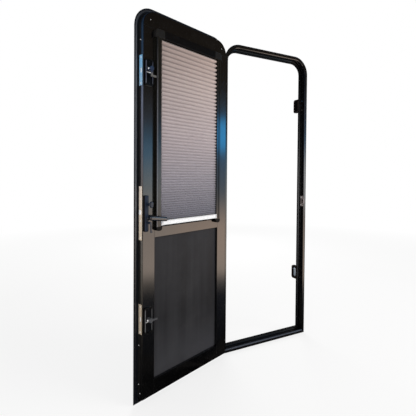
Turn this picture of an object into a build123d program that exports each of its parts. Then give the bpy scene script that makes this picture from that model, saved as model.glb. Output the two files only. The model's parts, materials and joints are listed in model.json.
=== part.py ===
from build123d import *
import math
import os

os.makedirs("parts", exist_ok=True)

# frame: outside is -Y, inside is +Y, the back of the wall flange is Y 0
frame_width = 652
frame_height = 1882
flange_cover = 15
flange_reach = 5
corner_radius = 105
rim_front = -4
rim_bevel = 3
rim_edge = -0.6
jamb_wall = 2.5
stop_width = 15.5
stop_front = 36
frame_back = 43.6
seal_margin = 3
frame_seal_thickness = 2

# leaf, measured with the door shut
open_angle = 161
lip_gap = 1
core_inset = 26.5
skin_back = -10
skin_thickness = 5.5
skin_soft = 3
leaf_inner = 23
leaf_soft = 2
joint_soft = 1
stile_width = 70
mid_rail_bottom = 773
mid_rail_height = 47
bottom_rail_height = 72.5
panel_face = 9
leaf_seal_height = 3.5
leaf_seal_thickness = 3.5

# window pane, seated on the back of the skin, and its outside trim
pane_overlap = 14
pane_thickness = 4
pane_side_gap = 15.5
pane_head_gap = 46
pane_foot_gap = 28
window_corner = 45
trim_width = 24
trim_overlap = 6
trim_thickness = 3

# continuous hinge
axis_out = 5
axis_depth = -10
knuckle_radius = 4.5
knuckle_count = 5
knuckle_gap = 1.2
pin_radius = 2
pin_gap = 0.3
pin_cap = 2
hinge_bottom = 10
hinge_head_gap = 12
hinge_strip = 1.5
hinge_strip_width = 12.5
hinge_strip_gap = 0.5
knuckle_reach = 3

# locks
upper_lock_drop = 205
latch_height = 897
lower_lock_height = 392
plate_lengths = {"upper": 141, "middle": 253, "lower": 142}
middle_plate_drop = 5
face_plate_front = -6
face_plate_back = 17
face_plate_thickness = 2
bolt_front = 1.5
bolt_back = 11.5
bolt_height = 22
bolt_gap = 0.5
latch_nose = 5.5
latch_bevel = 4
latch_length = 45
dead_length = 40
pocket_floor = 54.5
slot_side_gap = 1.5
slot_end_gap = 3
strike_height = 69
strike_thickness = 1.5
strike_back = 22
strike_lip = 6.5
strike_lip_thickness = 1
strike_lip_height = 36
keep_height = 91
keep_back = 88
keep_corner = 14
keep_rim = 5
keep_pocket = 6

# inside furniture, with the lever hung below the latch
escutcheon_edge = 4
escutcheon_width = 34
escutcheon_above = 107
escutcheon_below = 63
escutcheon_thickness = 8
escutcheon_corner = 6
furniture_soft = 2.5
spindle_inset = 25.5
spindle_size = 8
lever_drop = 28
lever_length = 104
lever_neck = 7.5
lever_reach = 37
lever_thickness = 12
lever_width = 21
lever_corner = 5
snib_rise = 65
snib_stem = 5.5
snib_reach = 22
snib_thickness = 8
snib_size = (18, 30)
tab_fall = 21
tab_boss = 5.5
tab_reach = 20
tab_thickness = 4
tab_drop = 46
tab_foot = 8
tab_corner = 3.5
small_spindle_size = 5
small_spindle_depth = 10
lock_plate_inset = 10
lock_plate_width = 41
lock_plate_length = 120
lock_plate_thickness = 6
lock_plate_corner = 5
lock_plate_drop = {"upper": 9, "lower": 6}
turn_rise = {"upper": 6, "lower": -2}
turn_inset = 30
turn_boss = 11
turn_reach = 24
turn_arm_width = 9
turn_arm_thickness = 6
turn_arm_length = 38
turn_foot = 26
turn_soft = 1.5

# outside furniture
outside_plate_width = 38
outside_plate_height = 180
outside_plate_thickness = 8
outside_plate_corner = 8
outside_lever_length = 100
outside_lever_reach = 32

# pleated blind
track_seat = 1
track_width = 28
track_height = 18
track_rib = 11
track_step = 2
track_soft = 2.5
track_flange = 10
track_flange_thickness = 2.5
track_rise = 4
groove_depth = 20
groove_low = 4
groove_high = 14
head_height = 41
head_soft = 4
corner_length = 50
corner_round = 20
end_length = 34
end_height = 20
end_round = 14
bar_rise = 5
bar_height = 24
bar_low = 3
bar_high = 19
bar_gap = 2.5
bar_soft = 3
shoe_length = 16
shoe_height = 16
shoe_gap = 1.5
fabric_gap = 1
fabric_low = 1
fabric_high = 14
fabric_thickness = 1.2
pleat_top = 24.5
pleat_bottom = 10.2

# places worked out from the sizes above
x_left = -frame_width / 2
x_right = frame_width / 2
x_flange = x_right + flange_reach
z_bottom = -flange_cover
z_foot = z_bottom - flange_reach
z_top = frame_height - flange_cover
jamb_inset = flange_cover + jamb_wall
stop_inset = jamb_inset + stop_width
x_jamb = x_right - jamb_inset
x_core = x_right - core_inset
x_stile = x_core - stile_width
z_core_bottom = z_bottom + core_inset
z_joint = z_top - corner_radius
mid_rail_top = mid_rail_bottom + mid_rail_height
bottom_rail_top = z_core_bottom + bottom_rail_height
skin_front = skin_back - skin_thickness
leaf_depth = leaf_inner - skin_back
pane_half = x_stile - pane_side_gap
pane_bottom = mid_rail_top + pane_foot_gap
pane_top = z_joint - pane_head_gap
window_half = pane_half - pane_overlap
window_bottom = pane_bottom + pane_overlap
window_top = pane_top - pane_overlap
x_axis = x_left - axis_out
hinge_top = z_joint - hinge_head_gap
lock_heights = {"upper": z_joint - upper_lock_drop, "middle": latch_height, "lower": lower_lock_height}
plate_middles = dict(lock_heights)
plate_middles["middle"] = latch_height - middle_plate_drop
turn_heights = {name: lock_heights[name] + turn_rise[name] for name in turn_rise}
bolt_half = bolt_height / 2
hole_half = bolt_half + bolt_gap
slot_half = bolt_half + slot_end_gap
slot_front = bolt_front - slot_side_gap
slot_back = bolt_back + slot_side_gap
lever_height = latch_height - lever_drop
snib_height = lever_height + snib_rise
tab_height = lever_height - tab_fall
x_spindle = x_core - spindle_inset
spindle_turn = spindle_size / math.sqrt(2) + pin_gap
small_spindle_turn = small_spindle_size / math.sqrt(2) + pin_gap
x_turn = x_core - turn_inset
furniture_face = leaf_inner + escutcheon_thickness
lock_face = leaf_inner + lock_plate_thickness
x_track = x_stile + track_seat
x_inner = x_track - track_width
track_front = leaf_inner + track_height
track_bottom = mid_rail_top + track_rise
head_bottom = z_joint - head_height
bar_bottom = track_bottom + bar_rise
bar_top = bar_bottom + bar_height
swing = math.radians(open_angle)
away = (math.cos(swing), -math.sin(swing), 0)
outward = (-math.sin(swing), -math.cos(swing), 0)
inward = (math.sin(swing), math.cos(swing), 0)


def opened(x, y, z):
    dx = x - x_axis
    dy = y - axis_depth
    new_x = x_axis + dx * math.cos(swing) + dy * math.sin(swing)
    new_y = axis_depth - dx * math.sin(swing) + dy * math.cos(swing)
    return (new_x, new_y, z)


def leaf_at(depth):
    return Plane(origin=opened(0, depth, 0), x_dir=away, z_dir=outward)


def leaf_edge(x):
    return Plane(origin=opened(x, 0, 0), x_dir=inward, z_dir=away)


def leaf_level(z):
    return Plane(origin=opened(0, 0, z), x_dir=away, z_dir=(0, 0, 1))


def frame_at(depth):
    return Plane(origin=(0, depth, 0), x_dir=(1, 0, 0), z_dir=(0, -1, 0))


def jamb_face(x):
    return Plane(origin=(x, 0, 0), x_dir=(0, 1, 0), z_dir=(1, 0, 0))


def rim_edges(part, direction):
    face = part.faces().sort_by(Axis((0, 0, 0), direction))[-1]
    return face.outer_wire().edges()


def upright_edge(part, side):
    corner = (inward[0] + side * away[0], inward[1] + side * away[1], 0)
    return part.edges().filter_by(Axis.Z).sort_by(Axis((0, 0, 0), corner))[-1]


def box(x0, z0, x1, z1, mode=Mode.ADD):
    with Locations(((x0 + x1) / 2, (z0 + z1) / 2)):
        Rectangle(abs(x1 - x0), abs(z1 - z0), mode=mode)


def square(x, z, half, mode=Mode.ADD):
    box(x - half, z - half, x + half, z + half, mode)


def soft_box(x0, z0, x1, z1, radius, mode=Mode.ADD):
    with Locations(((x0 + x1) / 2, (z0 + z1) / 2)):
        RectangleRounded(abs(x1 - x0), abs(z1 - z0), radius, mode=mode)


def disc(x, z, radius, mode=Mode.ADD):
    with Locations((x, z)):
        Circle(radius, mode=mode)


def round_corner(x, z, side_x, side_z, radius):
    box(x, z, x - side_x * radius, z - side_z * radius, Mode.SUBTRACT)
    disc(x - side_x * radius, z - side_z * radius, radius)


def arch(inset, mode=Mode.ADD):
    radius = corner_radius - inset
    half = frame_width / 2 - inset
    low = z_bottom + inset
    high = z_top - inset
    box(-half, low, half, high - radius, mode)
    box(radius - half, high - radius, half - radius, high, mode)
    disc(radius - half, high - radius, radius, mode)
    disc(half - radius, high - radius, radius, mode)


def frame_profile():
    points = [(-flange_reach, 0), (flange_cover, 0), (flange_cover, frame_back), (stop_inset, frame_back)]
    points += [(stop_inset, stop_front), (jamb_inset, stop_front), (jamb_inset, rim_front + jamb_wall)]
    points += [(flange_cover, rim_front), (rim_bevel, rim_front), (-flange_reach, rim_edge)]
    Polygon(*points, align=None)


# frame: bent surround and sill, joined at mitred lower corners
mitre_reach = 2 * stop_inset
keep_half = keep_height / 2

with BuildPart() as frame_surround:
    with BuildLine(Plane.XZ):
        corners = [(x_left, z_foot), (x_left, z_top), (x_right, z_top), (x_right, z_foot)]
        FilletPolyline(*corners, radius=corner_radius)
    with BuildSketch(Plane(origin=(x_left, 0, z_foot), x_dir=(1, 0, 0), z_dir=(0, 0, 1))):
        frame_profile()
    sweep()
    with BuildSketch(frame_at(2 * frame_back)):
        for side in (1, -1):
            corner = (side * x_flange, z_foot)
            inner = side * (x_right - mitre_reach)
            Polygon(corner, (inner, z_bottom + mitre_reach), (inner, z_foot), align=None)
    extrude(amount=4 * frame_back, mode=Mode.SUBTRACT)
    with BuildSketch(frame_at(2 * frame_back)):
        for name in ("upper", "lower"):
            middle = lock_heights[name]
            box(x_right - mitre_reach, middle - keep_half, x_jamb, middle + keep_half)
    extrude(amount=2 * frame_back - stop_front, mode=Mode.SUBTRACT)
    with BuildSketch(jamb_face(x_jamb - jamb_wall)):
        for middle in lock_heights.values():
            box(slot_front, middle - slot_half, slot_back, middle + slot_half)
    extrude(amount=3 * jamb_wall, mode=Mode.SUBTRACT)
frame_surround.part.label = "frame_surround"
export_step(frame_surround.part, "parts/frame_surround.step")

with BuildPart() as frame_sill:
    with BuildSketch(Plane(origin=(x_flange, 0, z_bottom), x_dir=(0, 0, 1), z_dir=(-1, 0, 0))):
        frame_profile()
    extrude(amount=2 * x_flange)
    with BuildSketch(frame_at(2 * frame_back)):
        for side in (1, -1):
            corner = (side * x_flange, z_foot)
            inner = side * (x_right - mitre_reach)
            outer = side * x_flange
            Polygon(corner, (inner, z_bottom + mitre_reach), (outer, z_bottom + mitre_reach), align=None)
    extrude(amount=4 * frame_back, mode=Mode.SUBTRACT)
frame_sill.part.label = "frame_sill"
export_step(frame_sill.part, "parts/frame_sill.step")

with BuildPart() as frame_seal:
    with BuildSketch(frame_at(stop_front)):
        arch(jamb_inset + seal_margin)
        arch(stop_inset - seal_margin, Mode.SUBTRACT)
    extrude(amount=frame_seal_thickness)
frame_seal.part.label = "frame_seal"
export_step(frame_seal.part, "parts/frame_seal.step")

# continuous hinge: knuckles of both leaves in turn round one pin
hinge_length = hinge_top - hinge_bottom
knuckle_pitch = (hinge_length + knuckle_gap) / knuckle_count
knuckle_length = knuckle_pitch - knuckle_gap
bore_radius = pin_radius + pin_gap
x_strip = x_left + lip_gap

with BuildPart() as hinge_frame_side:
    with BuildSketch(Plane.XY.offset(hinge_bottom)):
        box(x_left + hinge_strip_gap, rim_front - hinge_strip, x_left + hinge_strip_width, rim_front)
    extrude(amount=hinge_length)
    for index in range(0, knuckle_count, 2):
        with BuildSketch(Plane.XY.offset(hinge_bottom + index * knuckle_pitch)):
            disc(x_axis, axis_depth, knuckle_radius)
            box(x_axis - knuckle_reach, axis_depth + bore_radius, x_left + 2 * hinge_strip_gap, rim_front)
            disc(x_axis, axis_depth, bore_radius, Mode.SUBTRACT)
        extrude(amount=knuckle_length)
hinge_frame_side.part.label = "hinge_frame_side"
export_step(hinge_frame_side.part, "parts/hinge_frame_side.step")

with BuildPart() as hinge_pin:
    with BuildSketch(Plane.XY.offset(hinge_bottom - pin_cap)):
        disc(x_axis, axis_depth, knuckle_radius)
    extrude(amount=pin_cap)
    with BuildSketch(Plane.XY.offset(hinge_bottom)):
        disc(x_axis, axis_depth, pin_radius)
    extrude(amount=hinge_length)
    with BuildSketch(Plane.XY.offset(hinge_top)):
        disc(x_axis, axis_depth, knuckle_radius)
    extrude(amount=pin_cap)
hinge_pin.part.label = "hinge_pin"
export_step(hinge_pin.part, "parts/hinge_pin.step")

with BuildPart() as hinge_leaf_side:
    with BuildSketch(leaf_level(hinge_bottom)):
        box(x_strip + hinge_strip_gap, skin_back, x_strip + hinge_strip_width, skin_back + hinge_strip)
    extrude(amount=hinge_length)
    for index in range(1, knuckle_count, 2):
        with BuildSketch(leaf_level(hinge_bottom + index * knuckle_pitch)):
            disc(x_axis, axis_depth, knuckle_radius)
            box(x_axis, skin_back, x_strip + 2 * hinge_strip_gap, skin_back + hinge_strip)
            disc(x_axis, axis_depth, bore_radius, Mode.SUBTRACT)
        extrude(amount=knuckle_length)
hinge_leaf_side.part.label = "hinge_leaf_side"
export_step(hinge_leaf_side.part, "parts/hinge_leaf_side.step")

# strike plate, folded round the rim, and keeps in notches of the stop
with BuildPart() as strike_plate:
    middle = lock_heights["middle"]
    with BuildSketch(jamb_face(x_jamb - strike_thickness)):
        box(rim_front + jamb_wall, middle - strike_height / 2, strike_back, middle + strike_height / 2)
        box(slot_front, middle - slot_half, slot_back, middle + slot_half, Mode.SUBTRACT)
    extrude(amount=strike_thickness)
    with BuildSketch(Plane.XY.offset(middle - strike_lip_height / 2)):
        lip_front = rim_front - strike_lip_thickness
        fold = [(x_jamb - strike_thickness, rim_front + jamb_wall), (x_jamb, rim_front + jamb_wall)]
        fold += [(x_jamb + jamb_wall, rim_front), (x_jamb + strike_lip, rim_front)]
        fold += [(x_jamb + strike_lip, lip_front), (x_jamb + jamb_wall - strike_thickness, lip_front)]
        Polygon(*fold, align=None)
    extrude(amount=strike_lip_height)
strike_plate.part.label = "strike_plate"
export_step(strike_plate.part, "parts/strike_plate.step")

for name in ("upper", "lower"):
    middle = lock_heights[name]
    with BuildPart() as keep:
        with BuildSketch(jamb_face(x_jamb - stop_width)):
            soft_box(stop_front, middle - keep_half, keep_back, middle + keep_half, keep_corner)
            box(stop_front, middle - keep_half, keep_back - 2 * keep_corner, middle + keep_half)
        extrude(amount=stop_width)
        with BuildSketch(jamb_face(x_jamb - stop_width)):
            soft_box(stop_front + keep_rim, middle - keep_half + keep_rim,
                     keep_back - keep_rim, middle + keep_half - keep_rim, keep_corner - keep_rim)
        extrude(amount=keep_pocket, mode=Mode.SUBTRACT)
        with BuildSketch(jamb_face(x_jamb - strike_thickness)):
            box(rim_front + jamb_wall, middle - keep_half, stop_front, middle + keep_half)
            box(slot_front, middle - slot_half, slot_back, middle + slot_half, Mode.SUBTRACT)
        extrude(amount=strike_thickness)
    keep.part.label = name + "_keep"
    export_step(keep.part, "parts/" + name + "_keep.step")

# leaf: skin, rails, stiles, panel and window
with BuildPart() as outer_skin:
    with BuildSketch(leaf_at(skin_back)):
        arch(lip_gap)
        soft_box(-window_half, window_bottom, window_half, window_top, window_corner, Mode.SUBTRACT)
        square(x_spindle, lever_height, spindle_turn, Mode.SUBTRACT)
    extrude(amount=skin_thickness)
    chamfer(rim_edges(outer_skin.part, outward), skin_soft)
outer_skin.part.label = "outer_skin"
export_step(outer_skin.part, "parts/outer_skin.step")

with BuildPart() as leaf_top_rail:
    with BuildSketch(leaf_at(leaf_inner)):
        arch(core_inset)
    extrude(amount=leaf_depth)
    chamfer(rim_edges(leaf_top_rail.part, inward), leaf_soft)
    with BuildSketch(leaf_at(leaf_inner)):
        box(-frame_width, 2 * z_bottom, frame_width, z_joint)
    extrude(amount=leaf_depth, mode=Mode.SUBTRACT)
leaf_top_rail.part.label = "leaf_top_rail"
export_step(leaf_top_rail.part, "parts/leaf_top_rail.step")

with BuildPart() as leaf_hinge_stile:
    with BuildSketch(leaf_at(leaf_inner)):
        box(-x_core, z_core_bottom, -x_stile, z_joint)
    extrude(amount=leaf_depth)
    chamfer(upright_edge(leaf_hinge_stile.part, -1), leaf_soft)
    chamfer(rim_edges(leaf_hinge_stile.part, inward).sort_by(Axis.Z)[-1], joint_soft)
leaf_hinge_stile.part.label = "leaf_hinge_stile"
export_step(leaf_hinge_stile.part, "parts/leaf_hinge_stile.step")

with BuildPart() as leaf_lock_stile:
    with BuildSketch(leaf_at(leaf_inner)):
        box(x_stile, z_core_bottom, x_core, z_joint)
    extrude(amount=leaf_depth)
    chamfer(upright_edge(leaf_lock_stile.part, 1), leaf_soft)
    chamfer(rim_edges(leaf_lock_stile.part, inward).sort_by(Axis.Z)[-1], joint_soft)
    with BuildSketch(leaf_at(leaf_inner)):
        square(x_spindle, lever_height, spindle_turn)
    extrude(amount=leaf_depth, mode=Mode.SUBTRACT)
    with BuildSketch(leaf_at(leaf_inner)):
        square(x_spindle, snib_height, small_spindle_turn)
        square(x_spindle, tab_height, small_spindle_turn)
        for name in turn_heights:
            square(x_turn, turn_heights[name], small_spindle_turn)
    extrude(amount=small_spindle_depth, mode=Mode.SUBTRACT)
    with BuildSketch(leaf_edge(x_core)):
        for name in lock_heights:
            half = plate_lengths[name] / 2
            box(face_plate_front, plate_middles[name] - half, face_plate_back, plate_middles[name] + half)
    extrude(amount=-face_plate_thickness, mode=Mode.SUBTRACT)
    with BuildSketch(leaf_edge(x_core)):
        for middle in lock_heights.values():
            box(bolt_front - bolt_gap, middle - hole_half, bolt_back + bolt_gap, middle + hole_half)
    extrude(amount=-pocket_floor, mode=Mode.SUBTRACT)
leaf_lock_stile.part.label = "leaf_lock_stile"
export_step(leaf_lock_stile.part, "parts/leaf_lock_stile.step")

with BuildPart() as leaf_mid_rail:
    with BuildSketch(leaf_at(leaf_inner)):
        box(-x_stile, mid_rail_bottom, x_stile, mid_rail_top)
    extrude(amount=leaf_depth)
leaf_mid_rail.part.label = "leaf_mid_rail"
export_step(leaf_mid_rail.part, "parts/leaf_mid_rail.step")

with BuildPart() as leaf_bottom_rail:
    with BuildSketch(leaf_at(leaf_inner)):
        box(-x_stile, z_core_bottom, x_stile, bottom_rail_top)
    extrude(amount=leaf_depth)
leaf_bottom_rail.part.label = "leaf_bottom_rail"
export_step(leaf_bottom_rail.part, "parts/leaf_bottom_rail.step")

with BuildPart() as lower_panel:
    with BuildSketch(leaf_at(panel_face)):
        box(-x_stile, bottom_rail_top, x_stile, mid_rail_bottom)
    extrude(amount=panel_face - skin_back)
lower_panel.part.label = "lower_panel"
export_step(lower_panel.part, "parts/lower_panel.step")

with BuildPart() as window_pane:
    with BuildSketch(leaf_at(skin_back + pane_thickness)):
        soft_box(-pane_half, pane_bottom, pane_half, pane_top, window_corner)
    extrude(amount=pane_thickness)
window_pane.part.label = "window_pane"
export_step(window_pane.part, "parts/window_pane.step")

with BuildPart() as window_trim:
    grow = trim_width - trim_overlap
    with BuildSketch(leaf_at(skin_front)):
        soft_box(-window_half - grow, window_bottom - grow, window_half + grow, window_top + grow,
                 window_corner + grow)
        soft_box(trim_overlap - window_half, window_bottom + trim_overlap,
                 window_half - trim_overlap, window_top - trim_overlap, window_corner, Mode.SUBTRACT)
    extrude(amount=trim_thickness)
window_trim.part.label = "window_trim"
export_step(window_trim.part, "parts/window_trim.step")

with BuildPart() as leaf_seal:
    with BuildSketch(leaf_at(skin_back + leaf_seal_height)):
        arch(core_inset - leaf_seal_thickness)
        arch(core_inset, Mode.SUBTRACT)
    extrude(amount=leaf_seal_height)
leaf_seal.part.label = "leaf_seal"
export_step(leaf_seal.part, "parts/leaf_seal.step")

# face plates and bolts in the lock edge
for name in lock_heights:
    half = plate_lengths[name] / 2
    middle = lock_heights[name]
    with BuildPart() as face_plate:
        with BuildSketch(leaf_edge(x_core)):
            box(face_plate_front, plate_middles[name] - half, face_plate_back, plate_middles[name] + half)
            box(bolt_front - bolt_gap, middle - hole_half,
                bolt_back + bolt_gap, middle + hole_half, Mode.SUBTRACT)
        extrude(amount=-face_plate_thickness)
    face_plate.part.label = name + "_face_plate"
    export_step(face_plate.part, "parts/" + name + "_face_plate.step")

with BuildPart() as latch_bolt:
    with BuildSketch(leaf_level(latch_height - bolt_half)):
        tip = x_core + latch_nose
        nose = [(tip - latch_length, bolt_front), (tip, bolt_front), (tip, bolt_back - latch_bevel)]
        nose += [(tip - latch_bevel, bolt_back), (tip - latch_length, bolt_back)]
        Polygon(*nose, align=None)
    extrude(amount=bolt_height)
latch_bolt.part.label = "latch_bolt"
export_step(latch_bolt.part, "parts/latch_bolt.step")

for name in ("upper", "lower"):
    middle = lock_heights[name]
    with BuildPart() as dead_bolt:
        with BuildSketch(leaf_edge(x_core - face_plate_thickness)):
            box(bolt_front, middle - bolt_half, bolt_back, middle + bolt_half)
        extrude(amount=-dead_length)
    dead_bolt.part.label = name + "_bolt"
    export_step(dead_bolt.part, "parts/" + name + "_bolt.step")

# inside furniture on the lock stile
x_plate = x_core - escutcheon_edge
lever_half = lever_width / 2

with BuildPart() as escutcheon:
    with BuildSketch(leaf_at(furniture_face)):
        soft_box(x_plate - escutcheon_width, lever_height - escutcheon_below,
                 x_plate, lever_height + escutcheon_above, escutcheon_corner)
    extrude(amount=escutcheon_thickness)
    chamfer(rim_edges(escutcheon.part, inward), furniture_soft)
    with BuildSketch(leaf_at(furniture_face)):
        disc(x_spindle, lever_height, lever_neck + pin_gap)
        disc(x_spindle, snib_height, snib_stem + pin_gap)
        disc(x_spindle, tab_height, tab_boss + pin_gap)
    extrude(amount=escutcheon_thickness, mode=Mode.SUBTRACT)
escutcheon.part.label = "escutcheon"
export_step(escutcheon.part, "parts/escutcheon.step")

with BuildPart() as lever_handle:
    lever_face = furniture_face + lever_reach
    lever_back = lever_face - lever_thickness
    with BuildSketch(leaf_at(lever_face)):
        soft_box(x_spindle - lever_length, lever_height - lever_half,
                 x_spindle + lever_half, lever_height + lever_half, lever_corner)
    extrude(amount=lever_thickness)
    chamfer(rim_edges(lever_handle.part, inward), furniture_soft)
    with BuildSketch(leaf_at(lever_back)):
        disc(x_spindle, lever_height, lever_neck)
    extrude(amount=lever_back - leaf_inner)
    with BuildSketch(leaf_at(leaf_inner)):
        square(x_spindle, lever_height, spindle_size / 2)
    extrude(amount=leaf_depth + skin_thickness)
lever_handle.part.label = "lever_handle"
export_step(lever_handle.part, "parts/lever_handle.step")

with BuildPart() as snib_knob:
    snib_face = furniture_face + snib_reach + snib_thickness
    with BuildSketch(leaf_at(snib_face)):
        with Locations((x_spindle, snib_height)):
            SlotOverall(snib_size[1], snib_size[0], rotation=90)
    extrude(amount=snib_thickness)
    chamfer(rim_edges(snib_knob.part, inward), furniture_soft)
    with BuildSketch(leaf_at(snib_face - snib_thickness)):
        disc(x_spindle, snib_height, snib_stem)
    extrude(amount=snib_reach + escutcheon_thickness)
    with BuildSketch(leaf_at(leaf_inner)):
        square(x_spindle, snib_height, small_spindle_size / 2)
    extrude(amount=small_spindle_depth)
snib_knob.part.label = "snib_knob"
export_step(snib_knob.part, "parts/snib_knob.step")

with BuildPart() as lock_tab:
    tab_face = furniture_face + tab_reach
    tab_low = tab_height - tab_drop
    with BuildSketch(leaf_at(tab_face)):
        disc(x_spindle, tab_height, tab_boss)
        box(x_spindle - tab_boss, tab_low, x_spindle, tab_height)
        soft_box(x_spindle - 2 * tab_boss, tab_low, x_spindle, tab_low + tab_foot, tab_corner)
    extrude(amount=tab_thickness)
    with BuildSketch(leaf_at(tab_face - tab_thickness)):
        disc(x_spindle, tab_height, tab_boss)
    extrude(amount=tab_face - tab_thickness - leaf_inner)
    with BuildSketch(leaf_at(leaf_inner)):
        square(x_spindle, tab_height, small_spindle_size / 2)
    extrude(amount=small_spindle_depth)
lock_tab.part.label = "lock_tab"
export_step(lock_tab.part, "parts/lock_tab.step")

for name in turn_heights:
    middle = lock_heights[name] - lock_plate_drop[name]
    x_edge = x_core - lock_plate_inset
    with BuildPart() as lock_plate:
        with BuildSketch(leaf_at(lock_face)):
            soft_box(x_edge - lock_plate_width, middle - lock_plate_length / 2,
                     x_edge, middle + lock_plate_length / 2, lock_plate_corner)
        extrude(amount=lock_plate_thickness)
        chamfer(rim_edges(lock_plate.part, inward), furniture_soft)
        with BuildSketch(leaf_at(lock_face)):
            disc(x_turn, turn_heights[name], turn_boss + pin_gap)
        extrude(amount=lock_plate_thickness, mode=Mode.SUBTRACT)
    lock_plate.part.label = name + "_lock_plate"
    export_step(lock_plate.part, "parts/" + name + "_lock_plate.step")

turn_face = lock_face + turn_reach
turn_back = turn_face - turn_arm_thickness
arm_half = turn_arm_width / 2

with BuildPart() as upper_turn:
    height = turn_heights["upper"]
    arm_end = height - turn_arm_length
    with BuildSketch(leaf_at(turn_face)):
        disc(x_turn, height, turn_boss)
        box(x_turn - arm_half, arm_end, x_turn + arm_half, height)
        box(x_turn - turn_foot, arm_end, x_turn + arm_half, arm_end + turn_arm_width)
    extrude(amount=turn_arm_thickness)
    chamfer(rim_edges(upper_turn.part, inward), turn_soft)
    with BuildSketch(leaf_at(turn_back)):
        disc(x_turn, height, turn_boss)
    extrude(amount=turn_back - leaf_inner)
    with BuildSketch(leaf_at(leaf_inner)):
        square(x_turn, height, small_spindle_size / 2)
    extrude(amount=small_spindle_depth)
upper_turn.part.label = "upper_turn"
export_step(upper_turn.part, "parts/upper_turn.step")

with BuildPart() as lower_turn:
    height = turn_heights["lower"]
    with BuildSketch(leaf_at(turn_face)):
        disc(x_turn, height, turn_boss)
        box(x_turn - turn_arm_length, height - arm_half, x_turn, height + arm_half)
    extrude(amount=turn_arm_thickness)
    chamfer(rim_edges(lower_turn.part, inward), turn_soft)
    with BuildSketch(leaf_at(turn_back)):
        disc(x_turn, height, turn_boss)
    extrude(amount=turn_back - leaf_inner)
    with BuildSketch(leaf_at(leaf_inner)):
        square(x_turn, height, small_spindle_size / 2)
    extrude(amount=small_spindle_depth)
lower_turn.part.label = "lower_turn"
export_step(lower_turn.part, "parts/lower_turn.step")

# outside furniture
with BuildPart() as outside_plate:
    with BuildSketch(leaf_at(skin_front)):
        with Locations((x_spindle, lever_height)):
            RectangleRounded(outside_plate_width, outside_plate_height, outside_plate_corner)
    extrude(amount=outside_plate_thickness)
    chamfer(rim_edges(outside_plate.part, outward), furniture_soft)
    with BuildSketch(leaf_at(skin_front)):
        disc(x_spindle, lever_height, lever_neck + pin_gap)
    extrude(amount=outside_plate_thickness, mode=Mode.SUBTRACT)
outside_plate.part.label = "outside_plate"
export_step(outside_plate.part, "parts/outside_plate.step")

with BuildPart() as outside_lever:
    arm_back = skin_front - outside_plate_thickness - outside_lever_reach + lever_thickness
    with BuildSketch(leaf_at(arm_back)):
        soft_box(x_spindle - outside_lever_length, lever_height - lever_half,
                 x_spindle + lever_half, lever_height + lever_half, lever_corner)
    extrude(amount=lever_thickness)
    chamfer(rim_edges(outside_lever.part, outward), furniture_soft)
    with BuildSketch(leaf_at(skin_front)):
        disc(x_spindle, lever_height, lever_neck)
    extrude(amount=skin_front - arm_back)
outside_lever.part.label = "outside_lever"
export_step(outside_lever.part, "parts/outside_lever.step")

# blind: head, corner pieces, side tracks, end pieces, pull bar and fabric
x_head = x_track - corner_length

with BuildPart() as blind_head:
    with BuildSketch(leaf_edge(-x_head)):
        box(leaf_inner, head_bottom, track_front, z_joint)
        round_corner(track_front, z_joint, 1, 1, head_soft)
        round_corner(track_front, head_bottom, 1, -1, head_soft)
    extrude(amount=2 * x_head)
blind_head.part.label = "blind_head"
export_step(blind_head.part, "parts/blind_head.step")

for name, side in (("lock", 1), ("hinge", -1)):
    outer = side * x_track
    wing = side * (x_track + track_flange)
    groove_end = side * (x_inner + groove_depth)
    rib_end = side * (x_track - track_rib)
    with BuildPart() as blind_track:
        with BuildSketch(leaf_level(track_bottom)):
            box(side * x_inner, leaf_inner, outer, track_front)
            round_corner(outer, track_front, side, 1, track_soft)
            box(side * x_inner, track_front - track_step, rib_end, track_front, Mode.SUBTRACT)
            box(outer, leaf_inner, wing, leaf_inner + track_flange_thickness)
            box(side * x_inner, leaf_inner + groove_low, groove_end, leaf_inner + groove_high, Mode.SUBTRACT)
        extrude(amount=head_bottom - track_bottom)
    blind_track.part.label = "blind_" + name + "_track"
    export_step(blind_track.part, "parts/blind_" + name + "_track.step")
    with BuildPart() as blind_corner:
        with BuildSketch(leaf_at(track_front)):
            box(side * x_head, head_bottom, wing, z_joint)
            round_corner(wing, z_joint, side, 1, corner_round)
        extrude(amount=track_height)
        chamfer(rim_edges(blind_corner.part, inward), track_soft)
    blind_corner.part.label = "blind_" + name + "_corner"
    export_step(blind_corner.part, "parts/blind_" + name + "_corner.step")
    with BuildPart() as blind_end:
        end_bottom = track_bottom - end_height
        end_inner = side * (x_track - end_length)
        spare_top = track_bottom + 2 * end_round
        with BuildSketch(leaf_at(track_front)):
            soft_box(outer, end_bottom, end_inner, spare_top, end_round)
            box(outer, track_bottom, end_inner, spare_top, Mode.SUBTRACT)
        extrude(amount=track_height)
    blind_end.part.label = "blind_" + name + "_end"
    export_step(blind_end.part, "parts/blind_" + name + "_end.step")

bar_middle = bar_bottom + bar_height / 2
x_bar = x_inner - bar_gap
shoe_low = leaf_inner + groove_low + shoe_gap
shoe_high = leaf_inner + groove_high - shoe_gap

with BuildPart() as blind_bar:
    with BuildSketch(leaf_edge(-x_bar)):
        box(leaf_inner + bar_low, bar_bottom, leaf_inner + bar_high, bar_top)
        round_corner(leaf_inner + bar_high, bar_top, 1, 1, bar_soft)
        round_corner(leaf_inner + bar_high, bar_bottom, 1, -1, bar_soft)
    extrude(amount=2 * x_bar)
    with BuildSketch(leaf_at(shoe_high)):
        box(-x_inner - shoe_length, bar_middle - shoe_height / 2,
            x_inner + shoe_length, bar_middle + shoe_height / 2)
    extrude(amount=shoe_high - shoe_low)
blind_bar.part.label = "blind_bar"
export_step(blind_bar.part, "parts/blind_bar.step")

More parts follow.
